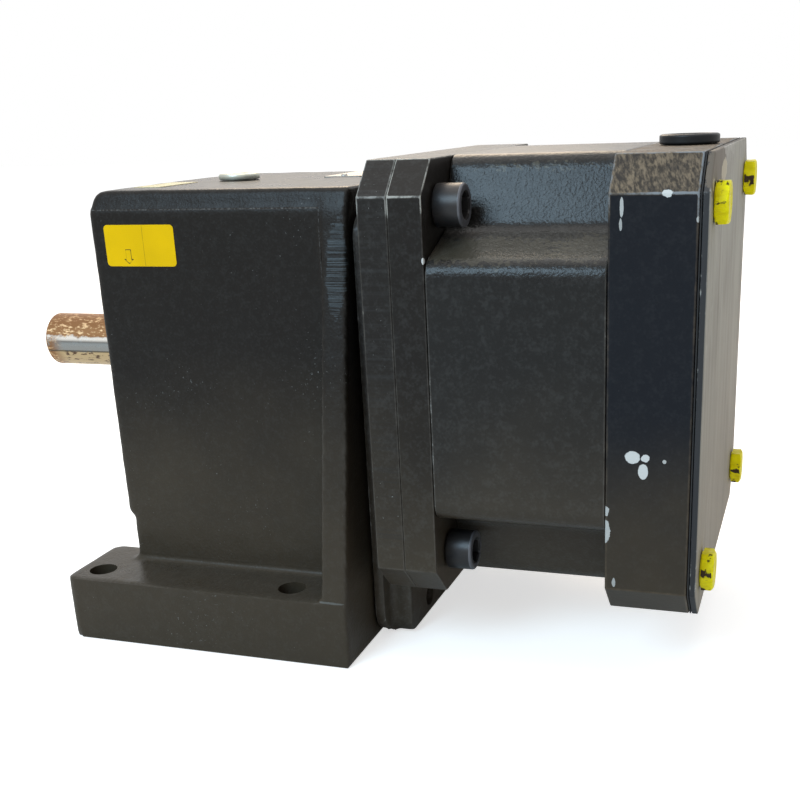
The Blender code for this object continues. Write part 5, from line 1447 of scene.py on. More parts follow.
@dataclass
class GearCase:
    """Cast gear case with its foot, seal boss and rear band, and the labels on it."""

    front: float = -45.6
    rear: float = 85.0
    half: float = 71.5
    top: float = 213.8
    shoulder: float = 205.0
    bevel: float = 3.5
    step: float = 2.6
    step_height: float = 56.0
    foot_half: float = 102.0
    foot_height: float = 32.0
    foot_front: float = -65.0
    gap: float = 56.5
    gap_x: float = -38.4
    root: float = 3.0
    band: float = 12.5
    boss: float = 28.0
    boss_front: float = -63.0
    voxel: float = 1.5

    def wall_outline(self, half: float, front: float, radius: float) -> list[Corner]:
        """Level outline of the case at one height."""
        rear = self.rear
        return [(rear, -half, 0.5), (rear, half, 0.5), (front, half, radius), (front, -half, radius)]

    def outside(self) -> list[Shell]:
        """The overlapping solids of the casting."""
        inner = self.front + self.step
        t = np.linspace(0, math.pi / 2, 5)
        over = [(self.shoulder + 1.2, self.half - 1.0, self.front + 0.4)] + [
            (
                self.top - 5 + 5 * math.sin(bend),
                self.half - 2.0 - 2.6 * (1 - math.cos(bend)),
                self.front + 1.5 + 6 * (1 - math.cos(bend)),
            )
            for bend in t[1:]
        ]
        walls = tower(
            [
                (0.0, self.wall_outline(self.half, inner, 3.0)),
                (self.step_height - 1.5, self.wall_outline(self.half, inner, 3.0)),
                (self.step_height + 1.5, self.wall_outline(self.half, self.front, 3.0)),
                (self.shoulder, self.wall_outline(self.half, self.front, 3.0)),
                *[(z, self.wall_outline(half, front, 3.0)) for z, half, front in over],
            ]
        )
        near_foot = [
            (self.foot_front, -self.foot_half, 4.5),
            (self.rear, -self.foot_half, 0.5),
            (self.rear, -30.0, 0.5),
            (self.gap_x, -30.0, 0.5),
            (self.gap_x, -self.gap, 10.0),
            (self.foot_front, -self.gap, 4.0),
        ]
        far_foot = [(x, -y, radius) for x, y, radius in near_foot[::-1]]
        middle = [(self.rear, -35.0), (self.rear, 35.0), (self.gap_x, 35.0), (self.gap_x, -35.0)]
        between = [(x, y, 0.5) for x, y in middle]
        foot = [tower([(0.0, part), (self.foot_height, part)]) for part in (near_foot, between, far_foot)]
        fillet = tower(
            [(self.foot_height - 2, self.wall_outline(self.half + self.root, inner + 1, 5.0))]
            + [
                (
                    self.foot_height + self.root * (1 - math.cos(angle)),
                    self.wall_outline(self.half + self.root * (1 - math.sin(angle)), inner + 1, 5.0),
                )
                for angle in t
            ]
        )
        ridge = [
            (-self.foot_half, 0.0, 0.3),
            (self.foot_half, 0.0, 0.3),
            (self.foot_half, self.foot_height, 3.0),
            (self.half, self.shoulder, 2.0),
            (self.half - self.bevel, self.top, 4.0),
            (self.bevel - self.half, self.top, 4.0),
            (-self.half, self.shoulder, 2.0),
            (-self.foot_half, self.foot_height, 3.0),
        ]
        band = tower([(self.rear - self.band, ridge), (self.rear, ridge)], Axis.X)
        boss = round_bar(
            [
                (self.boss_front, 0.0),
                (self.boss_front, self.boss),
                (self.front - 5, self.boss),
                (self.front - 1.5, self.boss + 1.5),
                (self.front, self.boss + 4.5),
                (self.front + 1, self.boss + 4.5),
                (self.front + 1, 0.0),
            ],
            soft=1.0,
        )
        return [walls, *foot, fillet, band, boss]

    def inside(self) -> Object:
        """The oil space, bores, foot holes and tapped holes as one cutter."""
        web_front, web_rear, mouth_x = 0.0, 22.0, self.rear - 13.0
        space, mouth = box_corners(60.0, 16.0, 199.0, 8.0), box_corners(51.0, 16.0, 199.0, 8.0)
        cutter = tower([(self.front + 19, space), (web_front, space)], Axis.X).made("case_inside")
        sleeve = round_bar([(-26.0, 0.0), (-26.0, 37.3), (1.0, 37.3), (1.0, 0.0)], 0.1, 48)
        combined(cutter, "DIFFERENCE", [sleeve])
        bore = [
            (self.boss_front - 1, 0.0),
            (self.boss_front - 1, 24.6),
            (self.boss_front + 0.8, 23.8),
            (-53.2, 23.8),
            (-53.2, 16.5),
            (-38.3, 16.5),
            (-38.3, 31.3),
            (18.3, 31.3),
            (18.3, 32.8),
            (20.3, 32.8),
            (20.3, 31.3),
            (web_rear + 1, 31.3),
            (web_rear + 1, 0.0),
        ]
        lay = [(11.5, 0.0), (11.5, 17.8), (web_rear + 1, 17.8), (web_rear + 1, 0.0)]
        oil = [(web_front - 1, 0.0), (web_front - 1, 9.0), (web_rear + 1, 9.0), (web_rear + 1, 0.0)]
        foot = [(-1.0, 0.0), (-1.0, 6.75), (34.0, 6.75), (34.0, 0.0)]
        plug = [(198.0, 0.0), (198.0, 6.8), (214.0, 6.8), (214.0, 0.0)]
        tap = [(76.5, 0.0), (76.5, 3.3), (85.5, 3.3), (85.5, 0.0)]
        foot_places = np.array([(x, y, 0) for x in (-52, 52) for y in (-88.5, 88.5)])
        solids = [
            tower([(web_rear, space), (mouth_x, space)], Axis.X),
            tower([(mouth_x - 1, mouth), (self.rear + 1, mouth)], Axis.X),
            round_bar(bore, 0.1, 64),
            round_bar(lay, 0.1, 48, (0.0, LAYSHAFT_HEIGHT)),
            round_bar(oil, 0.1, 32, (0.0, 36.0)).moved(np.array([(0, -40, 0), (0, 40, 0)])),
            round_bar(foot, 0.2, 48, (0.0, 0.0), Axis.Z).moved(foot_places),
            round_bar(plug, 0.1, 32, (-3.0, 0.0), Axis.Z),
            round_bar(tap, 0.1, 16, (0.0, 0.0)).moved(COVER_SCREWS),
        ]
        return combined(cutter, "UNION", solids)

    def build(self, paint: Paint) -> None:
        """Cast, roughen and bore the case, and replace the solid."""
        case = cast_form("cast_gear_case", self.outside(), self.voxel, 2)
        mark_bends(case, 0.3)
        roughened(case, 0.22, 16.0, 3)
        combined(case, "DIFFERENCE", [self.inside()])
        case.data.set_sharp_from_angle(angle=math.radians(50))
        fitted(case, "housing", "casing", paint.dressed(), "gear_case")

    def label(self, finish: PrintedFilm) -> None:
        """Yellow film on the near wall: a divider and an outlined arrow that points down."""
        left, right, low, high = -37.6, -1.0, 179.8, 198.6
        shell = film((left, right), (low, high), 1.9, -self.half - 0.12, -self.half + 0.3, Axis.Y, 0.35)
        x, z = shell.points[:, 0], shell.points[:, 2]
        off_line, off_middle = np.abs(x - (left + 0.55 * (right - left))), np.abs(z - (low + high) / 2)
        divider = np.maximum(off_line - 0.16, off_middle - 9.2)
        centre, tip, wing = left + 0.32 * (right - left), low + 1.2, 2.4
        outline = np.array(
            [(0, 0), (wing, 2.1), (1.4, 1.9), (1.4, 6.4), (-1.4, 6.4), (-1.4, 1.9), (-wing, 2.1)]
        ) + np.array([centre, tip])
        ends = np.roll(outline, -1, axis=0) - outline
        offset = np.stack([x, z], axis=1)[:, None] - outline
        share = np.clip(np.sum(offset * ends, axis=2) / np.sum(ends**2, axis=1), 0, 1)
        arrow = np.linalg.norm(offset - share[..., None] * ends, axis=2).min(axis=1) - 0.17
        label = shell.made("position_label")
        layer = label.data.attributes.new("mark", "FLOAT", "POINT")
        layer.data.foreach_set("value", np.minimum(divider, arrow).astype(np.float32))
        fitted(label, "housing", "casing", finish.dressed())

    def top_plates(self, silver: Plain, pale: Plain) -> None:
        """Bare metal plate with two rivets, and a bare pale film, on the case top."""
        sunk = self.top - 0.3
        sheet = film((39.9, 60.2), (7.5, 58.0), 1.2, self.top + 0.35, sunk, Axis.Z, 1.0)
        fitted(sheet.made("bare_plate"), "housing", "casing", silver.dressed())
        dome = ((-0.1, 0), (-0.1, 1.7), (0.6, 1.7), (1.3, 1.1), (1.5, 0))
        rivet = [(up + self.top, across) for up, across in dome]
        places = np.array([(50.0, 10.5, 0), (50.0, 55.0, 0)])
        rivets = round_bar(rivet, 0.6, 24, (0.0, 0.0), Axis.Z).moved(places).made("plate_rivets")
        fitted(rivets, "housing", "plug", silver.dressed())
        note = film((-33.5, -18.5), (-50.0, -14.0), 1.0, self.top + 0.12, sunk, Axis.Z, 1.0)
        fitted(note.made("pale_film"), "housing", "casing", pale.dressed())


@dataclass
class InputCover:
    """Cast cover of the case with its neck, its lug under the motor and its screws."""

    face: float = 85.9
    lip: float = 5.2
    neck_end: float = 99.2
    lug_end: float = 101.5
    screws: SocketScrew = field(default_factory=lambda: SocketScrew(6.0, 10.0, 6.0, 5.0, 12.0, 3.0, 0.5))

    def build(self, paint: Paint, black: Plain) -> None:
        """Unite the lip, neck and lug, bore them, and set the screws."""
        step = self.face + self.lip
        outline = box_corners(70.8, 3.0, 203.0, 11.0)
        plate_form = tower([(self.face, outline), (step, outline)], Axis.X)
        neck = slab(box_corners(50.0, 20.0, 196.0, 9.0), step - 1, self.neck_end, 0.5, flare=3.0)
        foot = [(61.0, 0.5, 6.0), (61.0, 35.0, 6.0), (-61.0, 35.0, 6.0), (-61.0, 0.5, 6.0)]
        lug = slab(foot, step - 1, self.lug_end, 1.6, flare=3.5)
        cover = cast_form("cast_input_cover", [plate_form, neck, lug], 1.4, 2)
        mark_bends(cover, 0.3)
        passage = [(84.0, 0.0), (84.0, 20.0), (101.0, 20.0), (101.0, 0.0)]
        lay = [(84.0, 0.0), (84.0, 17.8), (95.9, 17.8), (95.9, 0.0)]
        well = [(step, 0.0), (step, 5.4), (106.0, 5.4), (106.0, 0.0)]
        tap = [(90.2, 0.0), (90.2, 4.3), (100.2, 4.3), (100.2, 0.0)]
        taps = np.column_stack([np.zeros(4), place_corners(80.0, 92.0) + (0, SHAFT_HEIGHT)])
        cuts = [
            round_bar(passage, 0.1, 64),
            round_bar(lay, 0.1, 48, (0.0, LAYSHAFT_HEIGHT)),
            round_bar(well, 0.1, 40, (0.0, 0.0)).moved(COVER_SCREWS[-2:]),
            round_bar(tap, 0.1, 16, (0.0, 0.0)).moved(taps),
        ]
        combined(cover, "DIFFERENCE", cuts)
        cover.data.set_sharp_from_angle(angle=math.radians(40))
        fitted(cover, "housing", "cover", paint.dressed(), "input_cover")
        heads = self.screws.shell(step - 0.5).moved(COVER_SCREWS).made("cover_screws")
        fitted(heads, "housing", "black_screw", black.dressed())


@dataclass
class Motor:
    """Square motor: adapter plate, flange, barrel with its screw channels, rear block and cover."""

    side: float = 190.0
    chamfer: float = 14.0
    tie: float = 152.0
    adapter_x: tuple[float, float] = (99.0, 112.1)
    flange_x: tuple[float, float] = (112.2, 127.0)
    barrel_x: tuple[float, float] = (127.3, 201.7)
    block_x: tuple[float, float] = (202.0, 236.2)
    cover_x: tuple[float, float] = (237.3, 240.0)
    lip: float = 54.5
    pocket: float = 65.3
    bore: float = 80.3
    stand_off: float = 0.6
    screw: SocketScrew = field(default_factory=lambda: SocketScrew(12.0, 18.0, 12.0, 10.0, 26.0, 6.0, 0.9))

    def build_plates(self, sawn: Paint, smooth: Paint) -> None:
        """The adapter plate and the motor flange."""
        square = square_corners(self.side, self.chamfer)
        start, end = self.adapter_x
        bore = [(end, 16.5), (end - 5.2, 16.5), (end - 5.2, 26.3), (start, 26.3)]
        adapter = plate(square, start, end, bore, 0.5).made("sawn_adapter_plate")
        fitted(adapter, "housing", "adapter", sawn.dressed(), "adapter_plate")
        start, end = self.flange_x
        bore = [(end, 27.8), (end - 13.2, 27.8), (end - 13.2, 16.5), (start, 16.5)]
        flange = plate(square, start, end, bore, 0.4).made("smooth_motor_flange")
        fitted(flange, "housing", "motor_housing", smooth.dressed(), "motor_flange")

    def barrel_corners(self) -> list[Corner]:
        """Corners of the barrel's outline with its four screw channels, counter-clockwise."""
        half, ring = self.side / 2, []
        for sign_y, sign_z in ((1, 1), (-1, 1), (-1, -1), (1, -1)):
            channel = [
                (half * sign_y, self.lip * sign_z, 8.0),
                (self.pocket * sign_y, self.pocket * sign_z, 8.0),
                (self.lip * sign_y, half * sign_z, 8.0),
            ]
            ring += channel if sign_y == sign_z else channel[::-1]
        return ring

    def build_barrel(self, paint: Paint) -> None:
        """The barrel with its four open channels."""
        start, end = self.barrel_x
        bore = [(end, self.bore), (start, self.bore)]
        barrel = plate(self.barrel_corners(), start, end, bore, 0.5, spans=10).made("motor_barrel_fine")
        fitted(barrel, "housing", "motor_housing", paint.dressed(), "motor_barrel")

    def build_block(self, paint: Paint, raw: RawSheet) -> None:
        """The rear block with its wiring space, and the cover plate."""
        start, end = self.block_x
        square = [(u, v + SHAFT_HEIGHT, r) for u, v, r in square_corners(self.side, self.chamfer)]
        block = slab(square, start, end, 0.7).made("fine_rear_block")
        room = box_corners(70.0, SHAFT_HEIGHT - 70, SHAFT_HEIGHT + 70, 8.0)
        bearing = [(start - 1, 0.0), (start - 1, 21.3), (start + 12, 21.3), (start + 12, 7.5)]
        bearing += [(218.0, 7.5), (218.0, 0.0)]
        cable = [(199.0, 0.0), (199.0, 9.8), (226.0, 9.8), (226.0, 0.0)]
        tap = [(end - 20, 0.0), (end - 20, 6.3), (end + 1, 6.3), (end + 1, 0.0)]
        places = np.column_stack([np.zeros(4), place_corners(self.tie) + (0, SHAFT_HEIGHT)])
        cuts = [
            tower([(start + 15, room), (end + 1, room)], Axis.X),
            round_bar(bearing, 0.1, 48),
            round_bar(cable, 0.1, 48, (221.0, 0.0), Axis.Z),
            round_bar(tap, 0.1, 24, (0.0, 0.0)).moved(places),
        ]
        combined(block, "DIFFERENCE", cuts)
        block.data.set_sharp_from_angle(angle=math.radians(40))
        fitted(block, "housing", "rear_plate", paint.dressed(), "rear_block")
        start, end = self.cover_x
        cover = slab(square, start, end, 0.5).made("streaked_rear_cover")
        hole = [(start - 1, 0.0), (start - 1, 6.5), (end + 1, 6.5), (end + 1, 0.0)]
        combined(cover, "DIFFERENCE", [round_bar(hole, 0.1, 32, (0.0, 0.0)).moved(places)])
        cover.data.set_sharp_from_angle(angle=math.radians(40))
        fitted(cover, "housing", "rear_plate", raw.dressed(), "rear_cover")

    def build_screws(self, black: Plain, yellow: BoltPaint) -> None:
        """The flange screws and the painted hexagon bolts, each in its own place."""
        places = np.column_stack([np.zeros(4), place_corners(self.tie) + (0, SHAFT_HEIGHT)])
        screw = self.screw.shell(self.barrel_x[0] + self.stand_off)
        finish = black.dressed()
        seat, half, height = 240.3, 8.2, 5.6
        top = seat + height
        shank = [(seat - 20, 0.2), (seat - 20, 5.4), (seat - 19, 6.0), (seat - 0.02, 6.0)]
        rows = [(x, radius, False) for x, radius in shank + [(seat, 7.7), (seat + 0.4, 7.7)]]
        rows.append((seat + 0.5, half, True))
        below_top = (4.4, 3.0, 1.6, 1.2, 0.95, 0.75, 0.55, 0.35, 0.2, 0.08)
        rows += [(top - down, half, True) for down in below_top]
        rows += [(top, 7.7, False), (top, 6.8, False), (top - 0.25, 6.2, False), (top - 0.3, 0.2, False)]
        coats = yellow.dressed()
        for number, place in enumerate(places, 1):
            made = screw.moved(place[None]).made(f"socket_screw_{number}")
            fitted(made, "housing", "black_screw", finish, f"flange_screw_{number}")
            bolt = faceted_bar(rows, cone=(top, 7.7))
            turn = math.pi / 6 + 0.05 * (number - 2.5)
            y, z = bolt.points[:, 1].copy(), bolt.points[:, 2].copy()
            bolt.points[:, 1] = y * math.cos(turn) - z * math.sin(turn)
            bolt.points[:, 2] = y * math.sin(turn) + z * math.cos(turn)
            thick = 1 - 0.018 * (1 + unevenness(bolt.points, 7.0, number))
            outside = bolt.points[:, 0] > seat
            bolt.points[outside, 1:] *= thick[outside, None]
            painted = bolt.moved(place[None]).made(f"painted_bolt_{number}")
            fitted(painted, "housing", "yellow_bolt", coats, f"rear_bolt_{number}")


@dataclass
class SmallParts:
    """Filler plug, cable entry cap and output seal."""

    plug: SocketScrew = field(default_factory=lambda: SocketScrew(13.0, 20.4, 2.9, 8.0, 10.0, 2.4, 0.9))

    def build(self, zinc: Plain, black: Plain, rubber: Plain) -> None:
        """Make the three pieces."""
        plug = self.plug.shell(214.1, Axis.Z).moved(np.array([(-3.0, 0.0, 0.0)])).made("fine_filler_plug")
        fitted(plug, "housing", "plug", zinc.dressed(), "filler_plug")
        cap = [
            (211.3, 0.0), (211.3, 9.5), (225.3, 9.5), (225.3, 12.6), (225.9, 13.2), (229.0, 13.2),
            (229.6, 12.3), (229.6, 9.6), (229.1, 9.2), (229.1, 3.0), (229.4, 2.2), (229.4, 0.0),
        ]
        made = round_bar(cap, 0.45, 96, (221.0, 0.0), Axis.Z).made("fine_cable_cap")
        fitted(made, "housing", "cap", black.dressed(), "cable_entry_cap")
        seal = [
            (-61.5, 23.5), (-53.5, 23.5), (-53.5, 21.5), (-59.5, 21.5),
            (-59.5, 17.3), (-55.9, 15.35), (-61.5, 16.3),
        ]
        lip = round_bar(seal, 0.4, 128, ring=True).made("fine_output_seal")
        fitted(lip, "housing", "seal", rubber.dressed(), "output_seal")


@dataclass
class OutputShaft:
    """Output shaft with its chamfered bare end and tapped centre hole."""

    nose: float = -124.5
    radius: float = 14.0

    def build(self, steel: HandledShaft) -> None:
        """Turn the shaft and cut the keyway for the gear."""
        nose = self.nose
        profile = [
            (nose + 25, 0.0), (nose + 22, 4.25), (nose + 2, 4.25), (nose, 6.25), (nose, 13.0),
            (nose + 1.0, 14.0), (-64.5, 14.0), (-64.5, 15.0), (-21.7, 15.0), (-21.7, 17.5),
            (1.7, 17.5), (1.7, 15.0), (24.0, 15.0), (24.0, 14.5), (50.3, 14.5),
            (50.3, 13.0), (52.1, 13.0), (52.1, 14.5), (53.0, 14.5), (53.0, 0.0),
        ]
        shaft = round_bar(profile, 0.35, 160).made("bare_output_shaft")
        low, high = (np.array(corner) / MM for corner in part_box("output_key"))
        low, high = low - 0.1, high + 0.1
        open_end = high[2] + 2.9
        ring = [(high[1], low[2]), (high[1], open_end), (low[1], open_end), (low[1], low[2])]
        keyway = [(u, v, 0.05) for u, v in ring]
        way = tower([(low[0], keyway), (high[0], keyway)], Axis.X)
        combined(shaft, "DIFFERENCE", [way])
        shaft.data.set_sharp_from_angle(angle=math.radians(40))
        fitted(shaft, "output", "shaft", steel.dressed(), "output_shaft")


@dataclass
class Inside:
    """The solids that keep their own shape: gasket, gears, bearings, windings and the rest."""

    def dress(self) -> None:
        """Give every node that is still shown a finish of its own kind."""
        gear = BareSteel("ground_gear", 0.32, colour=(0.42, 0.41, 0.40), line_pitch=40.0, line_depth=0.02)
        bearing = BareSteel("bearing_steel", 0.22, colour=(0.56, 0.56, 0.55), line_depth=0.005)
        steel = BareSteel("turned_steel", 0.35, colour=(0.45, 0.44, 0.43))
        tones = {
            "gasket": ("gasket_paper", 0.85, 0.0, (0.012, 0.012, 0.013), (0.02, 0.019, 0.018)),
            "seal": ("inner_rubber", 0.6, 0.0, (0.02, 0.019, 0.019), (0.03, 0.028, 0.027)),
            "cage": ("bearing_cage", 0.5, 0.0, (0.05, 0.065, 0.05), (0.04, 0.05, 0.045)),
            "core": ("laminations", 0.45, 0.8, (0.30, 0.30, 0.31), (0.22, 0.21, 0.21)),
            "windings": ("enamelled_wire", 0.35, 0.6, (0.50, 0.20, 0.07), (0.38, 0.13, 0.04)),
            "magnets": ("plated_magnet", 0.3, 0.9, (0.50, 0.49, 0.46), (0.42, 0.41, 0.40)),
            "board": ("circuit_board", 0.45, 0.0, (0.012, 0.10, 0.045), (0.01, 0.075, 0.035)),
            "terminal": ("moulded_black", 0.5, 0.0, (0.02, 0.02, 0.021), (0.027, 0.026, 0.026)),
        }
        plain = {
            kind: Plain(name, roughness, metallic, colour=colour, second=second).dressed()
            for kind, (name, roughness, metallic, colour, second) in tones.items()
        }
        turned, toothed = steel.dressed(), gear.dressed()
        steels = dict.fromkeys(("key", "layshaft", "rotor_shaft", "spacer", "circlip", "disc"), turned)
        fine = {"bearing": bearing.dressed(), "gear": toothed, "pinion": toothed}
        finishes = {key: plain.pop(key) for key in ("gasket", "seal", "cage")} | fine | steels | plain
        for name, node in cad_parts.items():
            if node.hide_render:
                continue
            kinds = [kind for kind in finishes if kind in name]
            chosen = finishes["spacer"] if "spacer" in name or "circlip" in name else finishes[kinds[0]]
            node.data.materials.clear()
            node.data.materials.append(chosen)
        log.info("inner pieces dressed")


# Studio


@dataclass
class Studio:
    """White room with soft lamps, a pale floor and the camera."""

    eye: Spot = (281.2, -532.9, 242.2)
    azimuth: float = 0.324
    elevation: float = 0.330
    roll: float = -0.038
    lens: float = 50.886
    shift: tuple[float, float] = (-0.06125, 0.125)

    def add_camera(self) -> None:
        """Place the camera.

        Formula: it looks along (-sin a cos e, cos a cos e, -sin e). Its right side is level, and both
        its right and its up are turned about that line by the roll.
        """
        a, e, r = self.azimuth, self.elevation, self.roll
        look = np.array([-math.sin(a) * math.cos(e), math.cos(a) * math.cos(e), -math.sin(e)])
        level = unit(np.cross(look, (0.0, 0.0, 1.0)))
        upright = np.cross(level, look)
        right = math.cos(r) * level + math.sin(r) * upright
        up = math.cos(r) * upright - math.sin(r) * level
        data = bpy.data.cameras.new("camera")
        data.lens, data.sensor_width, data.clip_start, data.clip_end = self.lens, 36.0, 0.01, 50.0
        data.shift_x, data.shift_y = self.shift
        camera = bpy.data.objects.new("camera", data)
        matrix = np.eye(4)
        matrix[:3] = np.column_stack([right, up, -look, np.array(self.eye) * MM])
        camera.matrix_world = Matrix(matrix.tolist())
        bpy.context.scene.collection.objects.link(camera)
        bpy.context.scene.camera = camera

    @staticmethod
    def add_lamp(name: str, place: Spot, aim: Spot, size: float, power: float, colour: Colour) -> None:
        """Add a square soft lamp.

        Args:
            name: The lamp's name.
            place: Where it is, in metres.
            aim: The point that it's turned towards.
            size: Its side, in metres.
            power: Its power, in watts.
            colour: Its colour.
        """
        data = bpy.data.lights.new(name, "AREA")
        data.shape, data.size, data.energy, data.color = "SQUARE", size, power, colour
        lamp = bpy.data.objects.new(name, data)
        back = unit(np.array(place) - np.array(aim))
        side = unit(np.cross((0.0, 0.0, 1.0), back) if abs(back[2]) < 0.99 else np.array([1.0, 0.0, 0.0]))
        matrix = np.eye(4)
        matrix[:3] = np.column_stack([side, np.cross(back, side), back, place])
        lamp.matrix_world = Matrix(matrix.tolist())
        bpy.context.scene.collection.objects.link(lamp)

    def add_world(self) -> None:
        """White to the camera and in reflections, and an even pale light otherwise."""
        world = bpy.data.worlds.new("white_room")
        world.use_nodes = True
        bpy.context.scene.world = world
        w = Wiring(world.node_tree)
        background = world.node_tree.nodes["Background"]
        path = w.add("ShaderNodeLightPath")
        seen = w.larger(path.outputs["Is Camera Ray"], path.outputs["Is Glossy Ray"])
        seen = w.larger(seen, path.outputs["Is Transmission Ray"])
        w.feed(background.inputs["Color"], w.blend(seen, (0.93, 0.96, 1.0), (1.0, 1.0, 1.0)))
        w.feed(background.inputs["Strength"], w.times_plus(seen, 0.45, 0.55))

    def add_floor(self) -> None:
        """A wide pale floor that the camera sees as white, apart from the shadow on it."""
        reach, count, height = 6.0, 13, -0.0004
        line = np.linspace(-reach, reach, count)
        places = np.stack(np.meshgrid(line, line), axis=-1).reshape(-1, 2)
        index = np.arange(count**2).reshape(count, count)
        cells = [index[:-1, :-1], index[:-1, 1:], index[1:, 1:], index[1:, :-1]]
        mesh = bpy.data.meshes.new("floor")
        faces = np.stack(cells, axis=-1).reshape(-1, 4).tolist()
        mesh.from_pydata(np.column_stack([places, np.full(count**2, height)]), [], faces)
        floor = bpy.data.objects.new("floor", mesh)
        bpy.context.scene.collection.objects.link(floor)
        material, w, shader = Finish("pale_floor", 0.9, 0.0, 0.1).started()
        path = w.add("ShaderNodeLightPath")
        w.feed(shader.inputs["Base Color"], (0.86, 0.84, 0.81))
        w.feed(shader.inputs["Emission Color"], (1.0, 1.0, 1.0))
        w.feed(shader.inputs["Emission Strength"], w.times(path.outputs["Is Camera Ray"], 0.62))
        mesh.materials.append(material)

    def build(self) -> None:
        """Camera, lamps, world and floor."""
        scene = bpy.context.scene
        scene.view_settings.view_transform = "Standard"
        self.add_camera()
        self.add_world()
        self.add_lamp("overhead", (0.0, 0.1, 1.4), (0.05, 0.0, 0.15), 1.2, 6.0, (1.0, 0.97, 0.93))
        self.add_lamp("cool_front", (-0.33, -1.2, 1.05), (0.1, -0.05, 0.15), 0.7, 16.0, (0.55, 0.80, 1.0))
        self.add_lamp("warm_back", (-0.4, 1.25, 1.15), (0.1, 0.0, 0.15), 0.8, 11.0, (1.0, 0.80, 0.58))
        self.add_floor()
        log.info("studio ready")


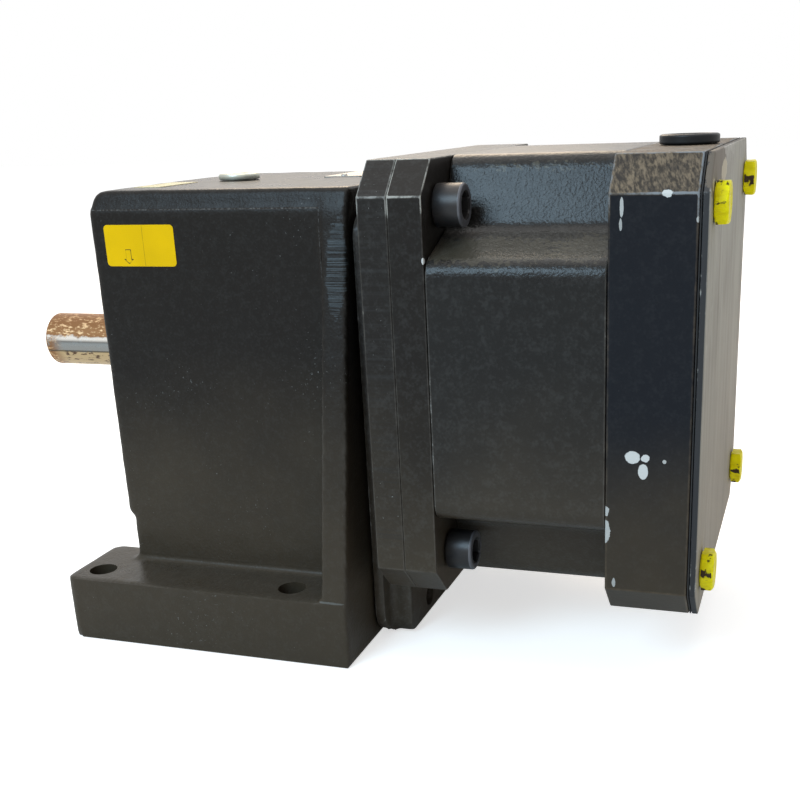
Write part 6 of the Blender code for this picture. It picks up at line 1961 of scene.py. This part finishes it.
def main() -> None:
    """Build every sub-assembly in order, then the studio."""
    logging.basicConfig(level=logging.INFO, format="%(name)s: %(message)s")
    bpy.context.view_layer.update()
    casting = Paint(
        "case_paint", 0.38, specular=0.17, peel_depth=0.2, specks=0.5, wear=0.3, painted_crest_highlight=0.03,
        dust=0.15, dust_from=0.86,
        pad=(71.5, 205.2), hatch=Chip((80.0, -76.0, 180.0), (5.0, 12.0, 22.0), 0.9, (0.055, 0.066, 0.072)),
        chips=(Chip((77.5, -102.0, 32.3), (7.0, 2.5, 0.5), 1.2, (0.13, 0.13, 0.12), 0.7),),
    )
    case = GearCase()
    case.build(casting)
    case.label(PrintedFilm("yellow_film", 0.3))
    silver = Plain(
        "bare_nameplate", 0.4, 0.9, colour=(0.42, 0.41, 0.385), second=(0.34, 0.33, 0.31), grain=1500.0,
    )
    pale = Plain("pale_label", 0.5, colour=(0.62, 0.55, 0.33), second=(0.55, 0.48, 0.28), grain_depth=0.02)
    case.top_plates(silver, pale)
    black = Plain(
        "black_oxide", 0.36, 0.4, colour=(0.014, 0.015, 0.018), second=(0.032, 0.027, 0.024),
        edge_colour=(0.11, 0.11, 0.12),
    )
    InputCover().build(Paint("cover_paint", 0.42, specular=0.3, specks=0.8, painted_crest_highlight=0.1, wear=0.55), black)
    motor = Motor()
    sawn = Paint(
        "sawn_plate_paint", 0.45, specular=0.2, line_pitch=900.0, line_depth=0.10, peel_depth=0.06,
        line_colour=(0.024, 0.023, 0.022), specks=0.8, wear=0.55, wear_below=0.3,
        bare=(0.24, 0.23, 0.21), dust=0.3,
    )
    smooth = Paint(
        "flange_paint", 0.38, specular=0.18, peel_depth=0.04, wear=0.62, wear_below=0.3,
        bare=(0.34, 0.32, 0.28), specks=0.1, chips=(Chip((126.8, -95.0, 185.6), (0.6, 2.0, 1.4), 0.5),),
    )
    motor.build_plates(sawn, smooth)
    # Brown patches on the channel slopes and lip: partly stains, partly a painted warm reflection.
    stains_and_painted_reflection = (
        Chip((150.0, -84.0, 189.0), (36.0, 14.0, 6.5), 2.2, (0.075, 0.063, 0.042), 0.45, 0.0),
        Chip((190.0, -84.0, 190.5), (13.0, 14.0, 7.0), 2.2, (0.12, 0.10, 0.068), 0.3, 0.0),
        Chip((168.0, -66.0, 221.0), (46.0, 10.0, 4.5), 1.8, (0.10, 0.088, 0.062), 0.45, 0.0),
    )
    barrel = Paint(
        "barrel_paint", 0.32, specular=0.27, upper=(0.005, 0.0045, 0.004), peel_depth=0.3, specks=0.1,
        wear=0.4, chips=stains_and_painted_reflection,
    )
    motor.build_barrel(barrel)
    faded = (0.42, 0.42, 0.40)
    chips = (
        Chip((207.2, -95.0, 206.0), (0.75, 3.0, 3.9), 0.5, faded),
        Chip((206.9, -95.0, 199.6), (0.6, 3.0, 2.6), 0.9, faded, 0.8),
        Chip((213.0, -95.0, 107.8), (3.2, 3.0, 2.7), 0.45),
        Chip((218.1, -95.0, 107.5), (1.9, 3.0, 1.7), 1.2),
        Chip((217.3, -95.0, 101.9), (2.1, 3.0, 3.4), 0.35),
        Chip((225.8, -95.0, 106.6), (0.8, 3.0, 0.9), 0.9, faded),
        Chip((202.3, -95.0, 84.0), (1.5, 3.0, 2.2), 1.1, faded),
        Chip((202.4, -95.0, 75.5), (1.7, 3.0, 5.0), 1.1, faded),
        Chip((205.9, -95.0, 52.3), (0.8, 3.0, 2.1), 0.8, faded, 0.8),
        Chip((224.2, -95.0, 210.9), (2.2, 4.0, 1.4), 1.2),
        Chip((235.8, -95.0, 201.3), (0.6, 3.0, 1.2), 0.6, faded),
    )
    block = Paint(
        "block_paint", 0.36, specular=0.15, upper=(0.006, 0.0075, 0.011), turn=(45.0, 130.0),
        peel_depth=0.05, specks=0.05, mottle_share=0.04, painted_crest_highlight=0.02, wear=0.5, wear_below=0.3,
        bare=(0.20, 0.21, 0.22), dust=1.0, soil=(0.20, 0.15, 0.10), soil_dark=(0.045, 0.036, 0.028),
        dust_from=0.45, dust_grain=110.0, chips=chips,
    )
    cream, earth = (0.50, 0.44, 0.32), (0.115, 0.09, 0.065)
    smears = (
        Chip((240.0, -66.0, 217.0), (4.0, 34.0, 12.0), 0.9, earth, 0.85, 0.02),
        Chip((240.0, -40.0, 216.0), (3.0, 13.0, 4.5), 0.9, cream, 0.8, 0.03),
        Chip((239.4, -84.0, 213.0), (1.5, 4.0, 3.0), 1.3, cream, 0.7, 0.03),
        Chip((239.6, -80.0, 207.0), (2.0, 2.0, 5.0), 1.3, cream, 0.8, 0.03),
    )
    motor.build_block(block, RawSheet("raw_cover", 0.5, smears=smears))
    motor.build_screws(black, BoltPaint("marking_paint", 0.35))
    zinc = Plain("plated_plug", 0.38, 0.85, colour=(0.52, 0.53, 0.46), second=(0.36, 0.37, 0.30))
    cap = Plain(
        "cap_plastic", 0.36, specular=0.25, colour=(0.010, 0.011, 0.012), second=(0.018, 0.018, 0.018),
    )
    rubber = Plain("seal_rubber", 0.6, colour=(0.016, 0.016, 0.017), second=(0.028, 0.026, 0.025))
    SmallParts().build(zinc, cap, rubber)
    OutputShaft().build(HandledShaft("handled_shaft", 0.16))
    Inside().dress()
    Studio().build()


if __name__ == "__main__":
    main()
